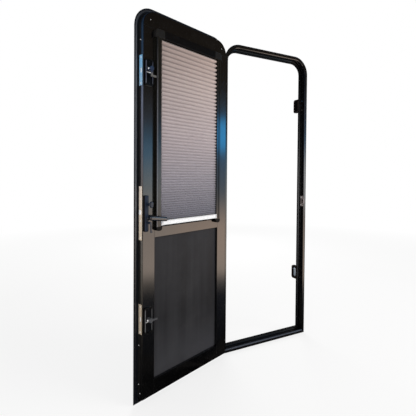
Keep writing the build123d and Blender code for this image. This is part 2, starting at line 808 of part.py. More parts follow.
# pleats open out toward the top, where the fabric hangs from the head
folds = []
height = bar_top
fabric_length = head_bottom - bar_top
growth = (pleat_top - pleat_bottom) / fabric_length
while height < head_bottom:
    folds.append(height)
    height = height + pleat_bottom + growth * (height - bar_top)
stretch = fabric_length / (height - bar_top)
folds.append(height)
front_line = []
for index in range(len(folds) - 1):
    low = bar_top + (folds[index] - bar_top) * stretch
    high = bar_top + (folds[index + 1] - bar_top) * stretch
    front_line.append((fabric_low + fabric_thickness, low))
    front_line.append((fabric_high, (low + high) / 2))
front_line.append((fabric_low + fabric_thickness, head_bottom))
back_line = [(fabric_low, head_bottom), (fabric_low, bar_top)]

with BuildPart() as blind_fabric:
    with BuildSketch(leaf_edge(fabric_gap - x_inner)):
        with BuildLine():
            outline = front_line + back_line
            Polyline(*[(leaf_inner + depth, level) for depth, level in outline], close=True)
        make_face()
    extrude(amount=2 * (x_inner - fabric_gap))
blind_fabric.part.label = "blind_fabric"
export_step(blind_fabric.part, "parts/blind_fabric.step")
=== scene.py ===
import json
import math
import random

import bmesh
import bpy
from mathutils import Matrix, Vector


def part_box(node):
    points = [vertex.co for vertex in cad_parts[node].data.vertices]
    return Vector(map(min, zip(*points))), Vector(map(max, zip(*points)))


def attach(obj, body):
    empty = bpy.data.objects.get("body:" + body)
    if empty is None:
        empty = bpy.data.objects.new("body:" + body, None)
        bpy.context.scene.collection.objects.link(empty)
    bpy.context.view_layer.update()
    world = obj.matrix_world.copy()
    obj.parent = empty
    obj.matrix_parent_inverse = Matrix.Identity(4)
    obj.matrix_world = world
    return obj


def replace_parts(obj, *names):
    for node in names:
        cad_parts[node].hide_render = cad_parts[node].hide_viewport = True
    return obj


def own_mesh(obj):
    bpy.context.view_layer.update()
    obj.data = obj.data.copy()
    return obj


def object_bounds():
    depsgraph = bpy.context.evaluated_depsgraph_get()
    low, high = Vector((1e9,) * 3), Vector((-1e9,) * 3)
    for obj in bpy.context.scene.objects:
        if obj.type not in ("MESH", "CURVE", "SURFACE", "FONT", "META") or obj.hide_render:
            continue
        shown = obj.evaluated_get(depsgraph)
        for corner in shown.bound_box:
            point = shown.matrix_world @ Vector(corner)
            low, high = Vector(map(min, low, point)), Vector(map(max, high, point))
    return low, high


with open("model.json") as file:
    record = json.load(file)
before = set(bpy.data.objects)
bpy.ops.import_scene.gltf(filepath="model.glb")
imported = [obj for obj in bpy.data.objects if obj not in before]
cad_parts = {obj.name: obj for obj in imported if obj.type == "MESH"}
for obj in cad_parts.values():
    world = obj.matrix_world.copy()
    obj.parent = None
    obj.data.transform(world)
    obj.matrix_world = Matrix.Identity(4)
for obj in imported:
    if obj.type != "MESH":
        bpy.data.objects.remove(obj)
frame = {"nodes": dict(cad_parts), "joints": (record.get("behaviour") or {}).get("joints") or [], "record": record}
cadLow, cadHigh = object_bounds()
nodes = frame["nodes"]
print("door: frame loaded,", len(nodes), "nodes")

# the leaf stands open: its pieces are laid out as if shut, then swung about the hinge line
joints = {joint["name"]: joint for joint in frame["joints"]}
hinge = joints["leaf_swing"]
hingeLine = Vector((hinge["pos_m"][0], hinge["pos_m"][1], 0))
openTurn = Matrix.Rotation(math.radians(hinge["range_deg"][0]), 4, "Z")
swung = Matrix.Translation(hingeLine) @ openTurn @ Matrix.Translation(-hingeLine)
shut = swung.inverted()
leafInward = swung.to_3x3() @ Vector((0, 1, 0))
leafAway = swung.to_3x3() @ Vector((1, 0, 0))


def shutBox(name):
    points = [shut @ vertex.co for vertex in nodes[name].data.vertices]
    low = Vector([min(point[axis] for point in points) for axis in range(3)])
    high = Vector([max(point[axis] for point in points) for axis in range(3)])
    return low, high


class Flow:                                    # a socket that takes part in sums
    def __init__(self, finish, socket):
        self.finish = finish
        self.socket = socket

    def maths(self, operation, *values):
        return self.finish.node("ShaderNodeMath", {"operation": operation}, dict(enumerate(values)))

    def __add__(self, other):
        return self.maths("ADD", self, other)

    def __radd__(self, other):
        return self.maths("ADD", other, self)

    def __sub__(self, other):
        return self.maths("SUBTRACT", self, other)

    def __rsub__(self, other):
        return self.maths("SUBTRACT", other, self)

    def __mul__(self, other):
        return self.maths("MULTIPLY", self, other)

    def __rmul__(self, other):
        return self.maths("MULTIPLY", other, self)

    def __truediv__(self, other):
        return self.maths("DIVIDE", self, other)

    def __rtruediv__(self, other):
        return self.maths("DIVIDE", other, self)

    def __pow__(self, other):
        return self.maths("POWER", self, other)

    def __abs__(self):
        return self.maths("ABSOLUTE", self)

    def held(self):
        return self.finish.node("ShaderNodeClamp", {}, {"Value": self})

    def past(self, start, soft):               # 0 up to start, then rising to 1 over soft
        return ((self - start) / soft).held()

    def short(self, end, soft):                # 1 until soft before end, 0 from end on
        return ((end - self) / soft).held()


class Finish:                                  # one material and the nodes in it
    def __init__(self, name, tree=None):
        if tree is None:
            self.material = bpy.data.materials.new(name)
            self.material.use_nodes = True
            tree = self.material.node_tree
        self.tree = tree
        self.shader = tree.nodes.get("Principled BSDF")

    def feed(self, socket, value):
        if isinstance(value, Flow):
            self.tree.links.new(value.socket, socket)
        elif hasattr(value, "__len__") and socket.type == "RGBA" and len(value) == 3:
            socket.default_value = (*value, 1)
        else:
            socket.default_value = value

    def node(self, kind, settings, sockets, out=0):
        made = self.tree.nodes.new(kind)
        for name, value in settings.items():
            if name == "stops":
                ramp = made.color_ramp.elements
                while len(ramp) < len(value):
                    ramp.new(1)
                for stop, (place, colour) in zip(ramp, value):
                    stop.position = place
                    stop.color = (*colour, 1)
            else:
                setattr(made, name, value)
        for name, value in sockets.items():
            self.feed(made.inputs[name], value)
        return Flow(self, made.outputs[out])

    def set(self, **sockets):
        for name, value in sockets.items():
            self.feed(self.shader.inputs[name.replace("_", " ")], value)
        return self

    def surface(self, flow):
        self.feed(self.tree.nodes["Material Output"].inputs["Surface"], flow)

    def place(self):
        return self.node("ShaderNodeTexCoord", {}, {}, "Object")

    def along(self, axis):
        return self.node("ShaderNodeSeparateXYZ", {}, {"Vector": self.place()}, axis)

    def vector(self, operation, *values, out="Vector"):
        return self.node("ShaderNodeVectorMath", {"operation": operation}, dict(enumerate(values)), out)

    def towards(self, direction):
        return self.vector("DOT_PRODUCT", self.place(), direction, out="Value")

    def climb(self, low, high):                # 0 at a box's foot, 1 at its top
        return (self.along("Z") - low.z) / (high.z - low.z)

    def stretched(self, scale):
        return self.node("ShaderNodeMapping", {}, {"Vector": self.place(), "Scale": scale})

    def noise(self, scale, detail=3, roughness=0.5, vector=None):
        sockets = {"Vector": vector or self.place(), "Scale": scale, "Detail": detail}
        return self.node("ShaderNodeTexNoise", {}, {**sockets, "Roughness": roughness})

    def ramp(self, flow, stops):
        return self.node("ShaderNodeValToRGB", {"stops": stops}, {"Fac": flow})

    def patches(self, scale, detail, roughness, start, gain):     # blotches where the noise rises past start
        return (self.noise(scale, detail, roughness) - start).held() * gain

    def streaks(self, scale, detail, stretch, roughness=0.6):
        return self.noise(scale, detail, roughness, self.stretched(stretch))

    def mix(self, share, first, second):
        return self.node("ShaderNodeMix", {"data_type": "RGBA"}, {0: share, 6: first, 7: second}, 2)

    def bump(self, height, strength, distance):
        sockets = {"Height": height, "Strength": strength, "Distance": distance}
        self.set(Normal=self.node("ShaderNodeBump", {}, sockets))

    def grain(self, scale, detail, strength, distance):
        self.bump(self.noise(scale, detail), strength, distance)

    def worn(self, look, colour=None, more=0, over=None):      # wear shows in the colour and the roughness
        wear = self.patches(*look["wear"])
        colour = self.mix(wear, colour or look["colour"], look["worn"])
        if over:
            colour = self.mix(over[0], colour, over[1])
        self.set(Base_Color=colour)
        self.set(Roughness=look["roughness"] + wear * look["wearRough"] + more)
        self.set(Specular_IOR_Level=look["gloss"])
        if "grain" in look:
            self.grain(*look["grain"])
        return self.material

    def glow(self, colour):
        return self.node("ShaderNodeEmission", {}, {"Color": colour, "Strength": 1.0})


# finishes: patches are given as scale, detail, roughness, start and gain, streaks as scale, detail and
# stretch, grain as scale, detail, strength and depth, and bumps as strength and depth
blackCoat = {
    "colour": (0.0013, 0.0013, 0.0015), "dust": (0.014, 0.013, 0.012), "roughness": 0.12, "gloss": 1.0,
    "dusty": (9, 5, 0.65, 0.52, 2.2), "dustGrain": 900, "dustRough": 0.2, "peel": (420, 2, 0.35, 0.00012),
    "smears": (5.5, 4, (1, 1, 0.35)), "smearFrom": 0.4, "smearRough": 0.10,
}
sillCoat = {                                   # the nose's tone is a painted reflection together with scuffs
    **blackCoat, "dust": (0.024, 0.024, 0.026), "nose": (0.062, 0.071, 0.092), "noseDepth": 0.0035,
    "noseFoot": -0.0040, "noseSoft": 0.0010,
}


def makeBlackCoat(name, look):
    finish = Finish(name)
    dust = finish.patches(*look["dusty"]) * finish.noise(look["dustGrain"], 2)
    smear = (finish.streaks(*look["smears"]) - look["smearFrom"]).held() * look["smearRough"]
    colour = look["colour"]
    if "nose" in look:
        # painted reflection and scuffs along the sill's nose
        front = finish.along("Y").short(look["noseDepth"], look["noseSoft"])
        scuffAndReflection = front * finish.along("Z").past(look["noseFoot"], look["noseSoft"])
        colour = finish.mix(scuffAndReflection, colour, look["nose"])
    finish.set(Base_Color=finish.mix(dust.held(), colour, look["dust"]), Specular_IOR_Level=look["gloss"])
    finish.set(Roughness=look["roughness"] + smear + dust * look["dustRough"])
    finish.grain(*look["peel"])
    return finish.material


blackPlastic = {
    "colour": (0.0034, 0.0028, 0.0026), "worn": (0.015, 0.014, 0.013), "roughness": 0.42, "gloss": 0.10,
    "wear": (30, 5, 0.7, 0.55, 1.8), "wearRough": 0.25, "grain": (1500, 2, 0.4, 0.00008),
}
trackPlastic = {                               # the rib along the lock side's track carries a painted highlight
    **blackPlastic, "colour": (0.0077, 0.0072, 0.0059), "roughness": 0.16, "gloss": 0.55,
    "rib": (0.077, 0.077, 0.083), "ribFrom": 0.0165, "ribDeep": 0.0016, "ribSoft": 0.0006, "ribFade": 0.35,
}
keepPlastic = {**blackPlastic, "colour": (0.060, 0.044, 0.037), "roughness": 0.5, "gloss": 0.3}
cornerPlastic = {**blackPlastic, "colour": (0.011, 0.010, 0.0090), "roughness": 0.5, "gloss": 0.2}


def makeBlackPlastic(name, look):
    return Finish(name).worn(look)


def makeTrackPlastic():
    look = trackPlastic
    finish = Finish("track_plastic")
    high = shutBox("blind_lock_track")[1]
    start = (swung @ high).dot(leafAway) - look["ribFrom"]
    crest = (swung @ high).dot(leafInward) - look["ribDeep"]
    # the mask below is a painted highlight along the rib, fading out toward the top
    rubbed = finish.towards(leafAway).past(start, look["ribSoft"])
    rubbed = rubbed * finish.towards(leafInward).past(crest, look["ribSoft"])
    rubbed = rubbed * finish.along("Z").short(high.z, look["ribFade"])
    return finish.worn(look, over=(rubbed, look["rib"]))


blackFurniture = {
    "colour": (0.0065, 0.0085, 0.013), "worn": (0.026, 0.026, 0.027), "roughness": 0.30, "gloss": 0.10,
    "wear": (45, 4, 0.6, 0.56, 2), "wearRough": 0.2, "cloudScale": 12, "cloudRough": 0.06,
    "grain": (700, 2, 0.3, 0.00010),
}
liningPaint = {**blackFurniture, "roughness": 0.45, "gloss": 0.12}
handlePolish = {**blackFurniture, "roughness": 0.18, "gloss": 0.9}
caseFurniture = {
    **blackFurniture, "colour": (0.016, 0.023, 0.040), "worn": (0.044, 0.049, 0.059), "gloss": 0.12,
}
knobFurniture = {**blackFurniture, "colour": (0.012, 0.018, 0.031), "roughness": 0.24, "gloss": 0.4}
platePaint = {**blackFurniture, "colour": (0.0021, 0.0025, 0.0034), "worn": (0.013, 0.013, 0.014)}


def makeBlackFurniture(name, look):
    finish = Finish(name)
    cloud = finish.noise(look["cloudScale"], 3) * look["cloudRough"]
    return finish.worn(look, more=cloud)


sealRubber = {                                 # chalked here and there
    "colour": (0.0058, 0.0058, 0.0058), "worn": (0.019, 0.018, 0.017), "roughness": 0.62, "gloss": 0.3,
    "wear": (55, 4, 0.6, 0.5, 1.6), "wearRough": 0.25, "grain": (1100, 3, 0.3, 0.0001),
}


def makeSealRubber():
    return Finish("seal_rubber").worn(sealRubber)


panelCharcoal = {
    "tones": [(0.00, 0.0439), (0.12, 0.0335), (0.25, 0.0239), (0.40, 0.0152), (0.64, 0.0193), (0.90, 0.0230),
              (1.00, 0.0243)],
    "cool": 1.12, "light": (0.044, 0.044, 0.048), "dark": (0.013, 0.013, 0.014),
    "dust": (0.065, 0.063, 0.062), "roughness": 0.46, "gloss": 0.10, "grainScale": 1300,
    "grainBump": (0.5, 0.00015),
    "bands": (16, 3, (1, 1, 0.04)), "bandFrom": 0.42, "bandGain": 1.5, "bandRough": 0.2,
    "wiped": (7, 5, 0.6, 0.5, 1.4), "wipedRough": 0.25, "blotches": (3.2, 3, 0.6, 0.52, 1.6),
}


def makePanelCharcoal(low, high):
    look = panelCharcoal
    finish = Finish("panel_charcoal")
    bands = finish.streaks(*look["bands"])     # rolled sheet, upright bands
    wiped = finish.patches(*look["wiped"])
    grain = finish.noise(look["grainScale"], 2)
    stops = [(place, (tone, tone, tone * look["cool"])) for place, tone in look["tones"]]
    base = finish.ramp(finish.climb(low, high), stops)
    base = finish.mix((bands - look["bandFrom"]).held() * look["bandGain"], base, look["light"])
    base = finish.mix(finish.patches(*look["blotches"]), base, look["dark"])
    finish.set(Base_Color=finish.mix((wiped * grain).held(), base, look["dust"]))
    finish.set(Roughness=look["roughness"] + wiped * look["wipedRough"] + (bands - 0.5) * look["bandRough"])
    finish.set(Specular_IOR_Level=look["gloss"])
    finish.bump(grain, *look["grainBump"])
    return finish.material


tintedPane = {                                 # a little hazed
    "colour": (0.20, 0.22, 0.24), "worn": (0.30, 0.31, 0.32), "roughness": 0.03, "gloss": 0.5,
    "wear": (6, 4, 0.6, 0.5, 1), "wearRough": 0.1, "clear": 0.8, "bend": 1.49,
}


def makeTintedPane():
    finish = Finish("pane").set(Transmission_Weight=tintedPane["clear"], IOR=tintedPane["bend"])
    return finish.worn(tintedPane)


greigeFabric = {
    # the tones up the cloth are painted shade, darkening toward the foot and a little under the head
    "shadedDyes": [(0.00, (0.187, 0.183, 0.219)), (0.22, (0.351, 0.325, 0.361)), (0.48, (0.506, 0.436, 0.446)),
             (0.78, (0.531, 0.439, 0.415)), (1.00, (0.461, 0.356, 0.315))],
    "dark": (0.039, 0.034, 0.039), "soils": (5, 4, 0.6, 0.45, 0.12),
    "valleys": (0.15, 0.72), "valleyTight": 3.0,
    "notchFrom": 0.962, "notchReach": 0.03, "notchShade": 0.85, "fade": 1.5, "lockTopDarkening": 0.32,
    "trackShadow": 0.0115, "trackShadowSoft": 0.003, "trackShadowDepth": 0.8,
    "weaveScale": 1900, "weaveLong": 0.15, "weaveShade": 0.25, "weaveRough": 0.1, "weaveBump": (0.35, 0.0001),
    "roughness": 0.8, "sheen": 0.15, "gloss": 0.25,
}


def makeGreigeFabric(low, high):
    look = greigeFabric
    finish = Finish("fabric_greige")
    climb = finish.climb(low, high)
    shadedDye = finish.ramp(climb, look["shadedDyes"])
    long = look["weaveLong"]
    threads = [finish.noise(look["weaveScale"], 1, 0.5, finish.stretched(stretch))
               for stretch in ((1, 1, long), (long, long, 1))]
    weave = threads[0] + threads[1]
    crest = (swung @ high).dot(leafInward)
    lockEdge = (swung @ high).dot(leafAway)
    fold = finish.towards(leafInward).short(crest, high.y - low.y)           # 0 on a crest, 1 in a valley
    hinged = finish.towards(leafAway).short(lockEdge, high.x - low.x)        # 0 at the lock side
    climb = climb.held()
    shallow, deep = look["valleys"]
    soilAndShade = finish.patches(*look["soils"]) + (1 - weave) * look["weaveShade"]
    # darker toward the lock side and toward the head
    soilAndShade = soilAndShade + (1 - hinged) * climb ** look["fade"] * look["lockTopDarkening"]
    # painted shade in the fold valleys, deeper toward the head
    soilAndShade = soilAndShade + fold ** look["valleyTight"] * (shallow + climb * (deep - shallow))
    # painted shadow of the lock track along the cloth's lock edge
    soilAndShade = soilAndShade + hinged.short(look["trackShadow"], look["trackShadowSoft"]) * look["trackShadowDepth"]
    notch = hinged.past(look["notchFrom"], look["notchReach"])               # painted shade where the folds meet the hinge track
    soilAndShade = soilAndShade + notch * fold ** look["fade"] * climb * look["notchShade"]
    finish.set(Base_Color=finish.mix(soilAndShade.held(), shadedDye, look["dark"]))
    finish.set(Roughness=look["roughness"] + (weave - 1) * look["weaveRough"])
    finish.set(Sheen_Weight=look["sheen"], Specular_IOR_Level=look["gloss"])
    finish.bump(weave, *look["weaveBump"])
    return finish.material


barWhite = {                                   # painted shade darkens the upper edge and the foot
    "tones": [(0.00, (0.387, 0.387, 0.400)), (0.08, (0.851, 0.864, 0.877)), (0.66, (0.864, 0.877, 0.890)),
              (0.84, (0.722, 0.722, 0.735)), (1.00, (0.439, 0.439, 0.451))],
    "worn": (0.671, 0.671, 0.645), "roughness": 0.34, "gloss": 0.5, "wear": (60, 4, 0.6, 0.58, 2),
    "wearRough": 0.2, "grain": (600, 2, 0.2, 0.00006),
}


def makeBarWhite(low, high):
    finish = Finish("bar_white")
    # the tones up the bar carry painted shade on its edges
    return finish.worn(barWhite, finish.ramp(finish.climb(low, high), barWhite["tones"]))


capGrey = {
    "colour": (0.748, 0.748, 0.761), "worn": (0.568, 0.568, 0.581), "roughness": 0.45, "gloss": 0.5,
    "wear": (140, 3, 0.5, 0, 1), "wearRough": 0.15, "grain": (1500, 2, 0.3, 0.00006),
}


def makeCapGrey():
    return Finish("cap_grey").worn(capGrey)


steel = {
    "brushed": (420, 3, (1, 1, 0.02)), "brushRough": 0.14, "brushBump": (0.25, 0.00006),
    "stains": (38, 4, 0.65, 0.55, 1.7), "stainRough": 0.2,
}
plateSteel = {                                 # the tints up the plates are painted reflections
    "tints": [(0.00, (0.50, 0.42, 0.32)), (0.28, (0.58, 0.48, 0.36)), (0.45, (0.82, 0.69, 0.54)),
              (0.56, (0.97, 0.84, 0.72)), (0.84, (0.25, 0.52, 0.78)), (1.00, (0.21, 0.50, 0.80))],
    "stain": (0.26, 0.22, 0.18), "roughness": 0.40, "metal": 0.1,
}
boltSteel = {
    "tints": [(0.00, (0.93, 0.92, 0.91)), (1.00, (0.94, 0.94, 0.95))],
    "stain": (0.60, 0.59, 0.57), "roughness": 0.26, "metal": 0.12,
}
keepSteel = {
    "tints": [(0.00, (0.66, 0.76, 0.86)), (1.00, (0.66, 0.76, 0.86))],
    "stain": (0.05, 0.06, 0.075), "roughness": 0.30, "metal": 0.45,
}
strikeSteel = {
    "tints": [(0.00, (0.25, 0.21, 0.20)), (1.00, (0.25, 0.21, 0.20))],
    "stain": (0.05, 0.032, 0.028), "roughness": 0.40, "metal": 0.3,
}


def makeSteel(name, look):
    finish = Finish(name)
    brushed = finish.streaks(*steel["brushed"])
    stain = finish.patches(*steel["stains"])
    tint = finish.ramp(finish.along("Z") / cadHigh.z, look["tints"])
    finish.set(Base_Color=finish.mix(stain, tint, look["stain"]), Metallic=look["metal"])
    finish.set(Roughness=look["roughness"] + brushed * steel["brushRough"] + stain * steel["stainRough"])
    finish.bump(brushed, *steel["brushBump"])
    return finish.material


# satin strip, lip, rims, turns and stop rubber: their tones up the door are mostly painted reflections
satin = {
    "rubbed": (240, 3, (1, 1, 0.03)), "rubRough": 0.2, "rubBump": (0.25, 0.00006),
    "dark": (0.002, 0.002, 0.002),
}
edgeSatin = {
    "tones": [(0.00, (0.001, 0.001, 0.0015)), (0.24, (0.010, 0.010, 0.010)), (0.34, (0.11, 0.10, 0.086)),
              (0.55, (0.12, 0.11, 0.11)), (0.76, (0.13, 0.145, 0.20)), (0.84, (0.02, 0.045, 0.085)),
              (1.00, (0.004, 0.012, 0.028))],
    "roughness": 0.38, "gloss": 0.35, "scratch": 0.35,
}
lipSatin = {
    "tones": [(0.00, (0.0048, 0.0048, 0.0060)), (0.17, (0.0072, 0.0072, 0.0084)),
              (0.26, (0.014, 0.014, 0.016)), (0.38, (0.054, 0.053, 0.053)), (0.50, (0.102, 0.106, 0.114)),
              (0.86, (0.102, 0.108, 0.120)), (0.95, (0.048, 0.054, 0.066)), (1.00, (0.0072, 0.0072, 0.0084))],
    "roughness": 0.42, "gloss": 0.5, "scratch": 0.25,
}
rimSatin = {                                   # rims of the lock plates
    "tones": [(0.50, (0.110, 0.110, 0.116)), (0.77, (0.142, 0.147, 0.147)), (0.795, (0.110, 0.116, 0.124)),
              (0.812, (0.062, 0.068, 0.103)), (1.00, (0.052, 0.057, 0.093))],
    "roughness": 0.34, "gloss": 0.35, "scratch": 0.4, "far": 0.35, "crest": 0.0012, "crestSoft": 0.0008,
    "middle": 0.048, "middleSoft": 0.007,
}
turnSatin = {
    "tones": [(0.50, (0.065, 0.066, 0.071)), (0.821, (0.110, 0.106, 0.099)), (0.826, (0.013, 0.023, 0.052)),
              (0.839, (0.013, 0.026, 0.058)), (0.846, (0.026, 0.071, 0.129))],
    "roughness": 0.26, "gloss": 0.6, "scratch": 0.4,
}
stopRubber = {                                 # rubber on the frame's stop
    "tones": [(0.00, (0.008, 0.008, 0.009)), (0.15, (0.024, 0.024, 0.026)), (0.51, (0.144, 0.143, 0.144)),
              (0.60, (0.125, 0.125, 0.125)), (0.76, (0.026, 0.026, 0.026)), (0.93, (0.003, 0.003, 0.003)),
              (1.00, (0.0014, 0.0014, 0.0014))],
    "roughness": 0.58, "gloss": 0.2, "scratch": 0.5,
}


def rimShade(finish, look):                    # rims are pale along the crest, near the plates' middle
    low, high = shutBox("upper_lock_plate")
    edge = (swung @ high).dot(leafAway)
    crest = (swung @ high).dot(leafInward) + look["crest"]
    shade = finish.towards(leafAway).short(edge, high.x - low.x) * look["far"]
    shade = shade + finish.towards(leafInward).short(crest, look["crestSoft"])
    ends = 1
    for name in ("upper_lock_plate", "lower_lock_plate"):
        low, high = shutBox(name)
        off = abs(finish.along("Z") - (low.z + high.z) / 2)
        ends = off.past(look["middle"], look["middleSoft"]) * ends
    return shade + ends


def makeSatin(name, look):
    finish = Finish(name)
    rub = finish.streaks(*satin["rubbed"])
    tone = finish.ramp(finish.along("Z") / cadHigh.z, look["tones"])
    shade = (rub - 0.5).held() * look["scratch"]
    if "far" in look:
        shade = shade + rimShade(finish, look)
    finish.set(Base_Color=finish.mix(shade.held(), tone, satin["dark"]), Specular_IOR_Level=look["gloss"])
    finish.set(Roughness=look["roughness"] + (rub - 0.5) * satin["rubRough"])
    finish.bump(rub, *satin["rubBump"])
    return finish.material


fabricLow, fabricHigh = shutBox("blind_fabric")
finishes = {
    "black_coat": makeBlackCoat("black_coat", blackCoat),
    "black_plastic": makeBlackPlastic("black_plastic", blackPlastic),
    "black_furniture": makeBlackFurniture("black_furniture", blackFurniture),
    "seal_rubber": makeSealRubber(),
    "panel_charcoal": makePanelCharcoal(*shutBox("lower_panel")),
    "pane": makeTintedPane(),
    "fabric_greige": makeGreigeFabric(fabricLow, fabricHigh),
    "bar_white": makeBarWhite(*shutBox("blind_bar")),
    "plate_steel": makeSteel("plate_steel", plateSteel),
    "bolt_steel": makeSteel("bolt_steel", boltSteel),
}
capFinish = makeCapGrey()
keepFinish = makeSteel("keep_steel", keepSteel)
edgeFinish = makeSatin("edge_satin", edgeSatin)
liningFinish = makeBlackFurniture("lip_lining", liningPaint)
lipFinish = makeSatin("lip_satin", lipSatin)
polish = makeBlackFurniture("handle_polish", handlePolish)
trackFinish = makeTrackPlastic()
cornerFinish = makeBlackPlastic("corner_plastic", cornerPlastic)
rimPlastic = makeBlackPlastic("keep_rim_plastic", keepPlastic)
turnFinish = makeSatin("turn_satin", turnSatin)
rimFinish = makeSatin("rim_satin", rimSatin)
caseFinish = makeBlackFurniture("case_furniture", caseFurniture)
plateFinish = makeBlackFurniture("plate_paint", platePaint)
knobFinish = makeBlackFurniture("knob_furniture", knobFurniture)
ownFinish = {                                  # nodes whose finish differs from their slot's
    "snib_knob": knobFinish, "lock_tab": knobFinish, "upper_turn": turnFinish, "lower_turn": turnFinish,
    "upper_lock_plate": plateFinish, "lower_lock_plate": plateFinish,
    "blind_lock_track": trackFinish, "blind_hinge_track": trackFinish,
    "blind_lock_corner": cornerFinish, "blind_hinge_corner": cornerFinish,
    "frame_seal": makeSatin("stop_rubber", stopRubber),
    "strike_plate": makeSteel("strike_steel", strikeSteel),
    "frame_sill": makeBlackCoat("sill_coat", sillCoat),
}
slotOf = {part["node"]: part["material_slot"] for part in frame["record"]["subparts"]}
for name, node in nodes.items():
    for place in node.material_slots:
        place.material = ownFinish.get(name) or finishes[slotOf[name]]
print("door: finishes on", len(slotOf), "nodes")


# pieces
def addObject(name, data):
    made = bpy.data.objects.new(name, data)
    bpy.context.scene.collection.objects.link(made)
    return made


def addMesh(name, work, looks):
    mesh = bpy.data.meshes.new(name)
    work.to_mesh(mesh)
    work.free()
    for look in looks:
        mesh.materials.append(look)
    return addObject(name, mesh)


def addPiece(name, work, slot, body="leaf", finish=None, sharp=35):
    bmesh.ops.recalc_face_normals(work, faces=work.faces)
    piece = addMesh(name, work, [finish or finishes[slot]])
    if body != "frame":                        # all but the frame's own pieces swing with the leaf
        piece.data.transform(swung)
    if sharp:
        piece.data.shade_smooth()
        piece.data.set_sharp_from_angle(angle=math.radians(sharp))
    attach(piece, body)
    return piece


def ring(work, points):
    return [work.verts.new(point) for point in points]


def skinRings(work, rings):
    for lower, upper in zip(rings, rings[1:]):
        count = len(lower)
        for index in range(count):
            after = (index + 1) % count
            work.faces.new((lower[index], lower[after], upper[after], upper[index]))


def skinCapped(work, rings):
    skinRings(work, rings)
    work.faces.new(rings[0])
    work.faces.new(rings[-1])


def circle(count):
    return [(math.cos(math.tau * side / count), math.sin(math.tau * side / count)) for side in range(count)]


def post(work, spot, section, sides):          # turned about the line through spot, square to the leaf
    skinCapped(work, [ring(work, [(spot.x + across * radius, depth, spot.z + up * radius)
                                  for across, up in circle(sides)]) for radius, depth in section])


def roundedOutline(front, back, below, above, radius, steps):
    outline = []
    corners = [(back, above, 0), (front, above, 90), (front, below, 180), (back, below, 270)]
    for depth, level, start in corners:
        middleDepth = depth - radius if start in (0, 270) else depth + radius
        middleLevel = level - radius if start in (0, 90) else level + radius
        for step in range(steps):
            turn = math.radians(start + 90 * step / (steps - 1))
            outline.append((middleDepth + radius * math.cos(turn), middleLevel + radius * math.sin(turn)))
    return outline


def archRoute(edge, top, radius, inset, steps):       # points round both upper corners, and the way outward
    route = []
    for side in (1, -1):
        middle = Vector((side * (edge - radius), 0, top - radius))
        turns = [math.pi / 2 * step / steps for step in range(steps + 1)]
        for turn in turns[::side]:
            out = Vector((side * math.cos(turn), 0, math.sin(turn)))
            route.append((middle + out * (radius - inset), out))
    return route


def jointSpot(name):
    return shut @ Vector(joints[name]["pos_m"])


# pleated blind cloth: zigzag folds that open out toward the head
pleats = {
    "topPitch": 0.0245, "bottomPitch": 0.0102, "cloth": 0.0006, "foldSoft": 0.16, "sharp": 70,
    "columns": 30, "wander": 0.0004, "sway": 0.0005, "swayBends": (61, 9, 23, 7), "seed": 7,
}


def foldLevels(low, high):
    levels = [low]
    growth = (pleats["topPitch"] - pleats["bottomPitch"]) / (high - low)
    while levels[-1] < high:
        levels.append(levels[-1] + pleats["bottomPitch"] + growth * (levels[-1] - low))
    shrink = (high - low) / (levels[-1] - low)
    return [low + (level - low) * shrink for level in levels]


def pleatProfile(low, high, back, front):
    chance = random.Random(pleats["seed"])
    levels = foldLevels(low, high)
    folds = []
    for lower, upper in zip(levels, levels[1:]):
        folds.append((back, lower))
        crest = (lower + upper) / 2 + chance.uniform(-1, 1) * pleats["wander"]
        folds.append((front - chance.random() * pleats["wander"] * 2, crest))
    folds.append((back, high))
    points = [folds[0]]
    soft = pleats["foldSoft"]
    for before, fold, after in zip(folds, folds[1:], folds[2:]):
        start = [fold[axis] + (before[axis] - fold[axis]) * soft for axis in (0, 1)]
        end = [fold[axis] + (after[axis] - fold[axis]) * soft for axis in (0, 1)]
        middle = [fold[axis] / 2 + (start[axis] + end[axis]) / 4 for axis in (0, 1)]
        points += [start, middle, end]
    points.append(folds[-1])
    return points


def makeBlindCloth():
    low, high = fabricLow, fabricHigh
    back, front = low.y + pleats["cloth"], high.y
    bends = pleats["swayBends"]
    profile = pleatProfile(low.z, high.z, back, front)
    work = bmesh.new()
    rings = []
    for column in range(pleats["columns"] + 1):
        x = low.x + (high.x - low.x) * column / pleats["columns"]
        face, rear = [], []
        for depth, level in profile:
            bow = math.sin(level * bends[0] + x * bends[1]) * math.sin(x * bends[2] + level * bends[3])
            lift = pleats["sway"] * bow if low.z < level < high.z else 0
            face.append((x, depth, level + lift))
            rear.append((x, depth - pleats["cloth"], level + lift))
        rings.append(ring(work, face + rear[::-1]))
    skinRings(work, rings)
    for end in (rings[0], rings[-1]):
        for index in range(len(profile) - 1):
            work.faces.new((end[index], end[index + 1], end[-index - 2], end[-index - 1]))
    piece = addPiece("blindCloth", work, "fabric_greige", sharp=pleats["sharp"])
    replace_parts(piece, "blind_fabric")
    cut = sum(math.dist(start, end) for start, end in zip(profile, profile[1:]))
    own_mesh(piece)
    return cut


print("door: blind cloth, cut length", round(makeBlindCloth(), 3))


# grey caps over the pull bar's ends
barCap = {
    "length": 0.013, "proud": 0.0007, "under": 0.0003, "soft": 0.0026, "steps": 5, "clear": 0.0006,
    "chamfer": 0.0012,
}


def makeBarCaps():
    look = barCap
    low, high = shutBox("blind_bar")
    reach = shutBox("blind_lock_track")[0].x - look["clear"]       # the bar ends just inside the tracks
    top = high.z - look["under"]               # the cloth lies on the bar, so the caps stop below it
    chamfer = look["chamfer"]
    work = bmesh.new()
    for side in (1, -1):
        rings = []
        inner, outer = side * (reach - look["length"]), side * reach
        for x, tuck in ((inner, look["proud"]), (inner, 0), (outer - side * chamfer, 0), (outer, chamfer)):
            grow = look["proud"] - tuck
            sides = (low.y - grow, high.y + grow, low.z - grow, top)
            outline = roundedOutline(*sides, look["soft"], look["steps"])
            rings.append(ring(work, [(x, depth, level) for depth, level in outline]))
        skinCapped(work, rings)
    addPiece("barCaps", work, "bar_white", "blind", capFinish)


makeBarCaps()


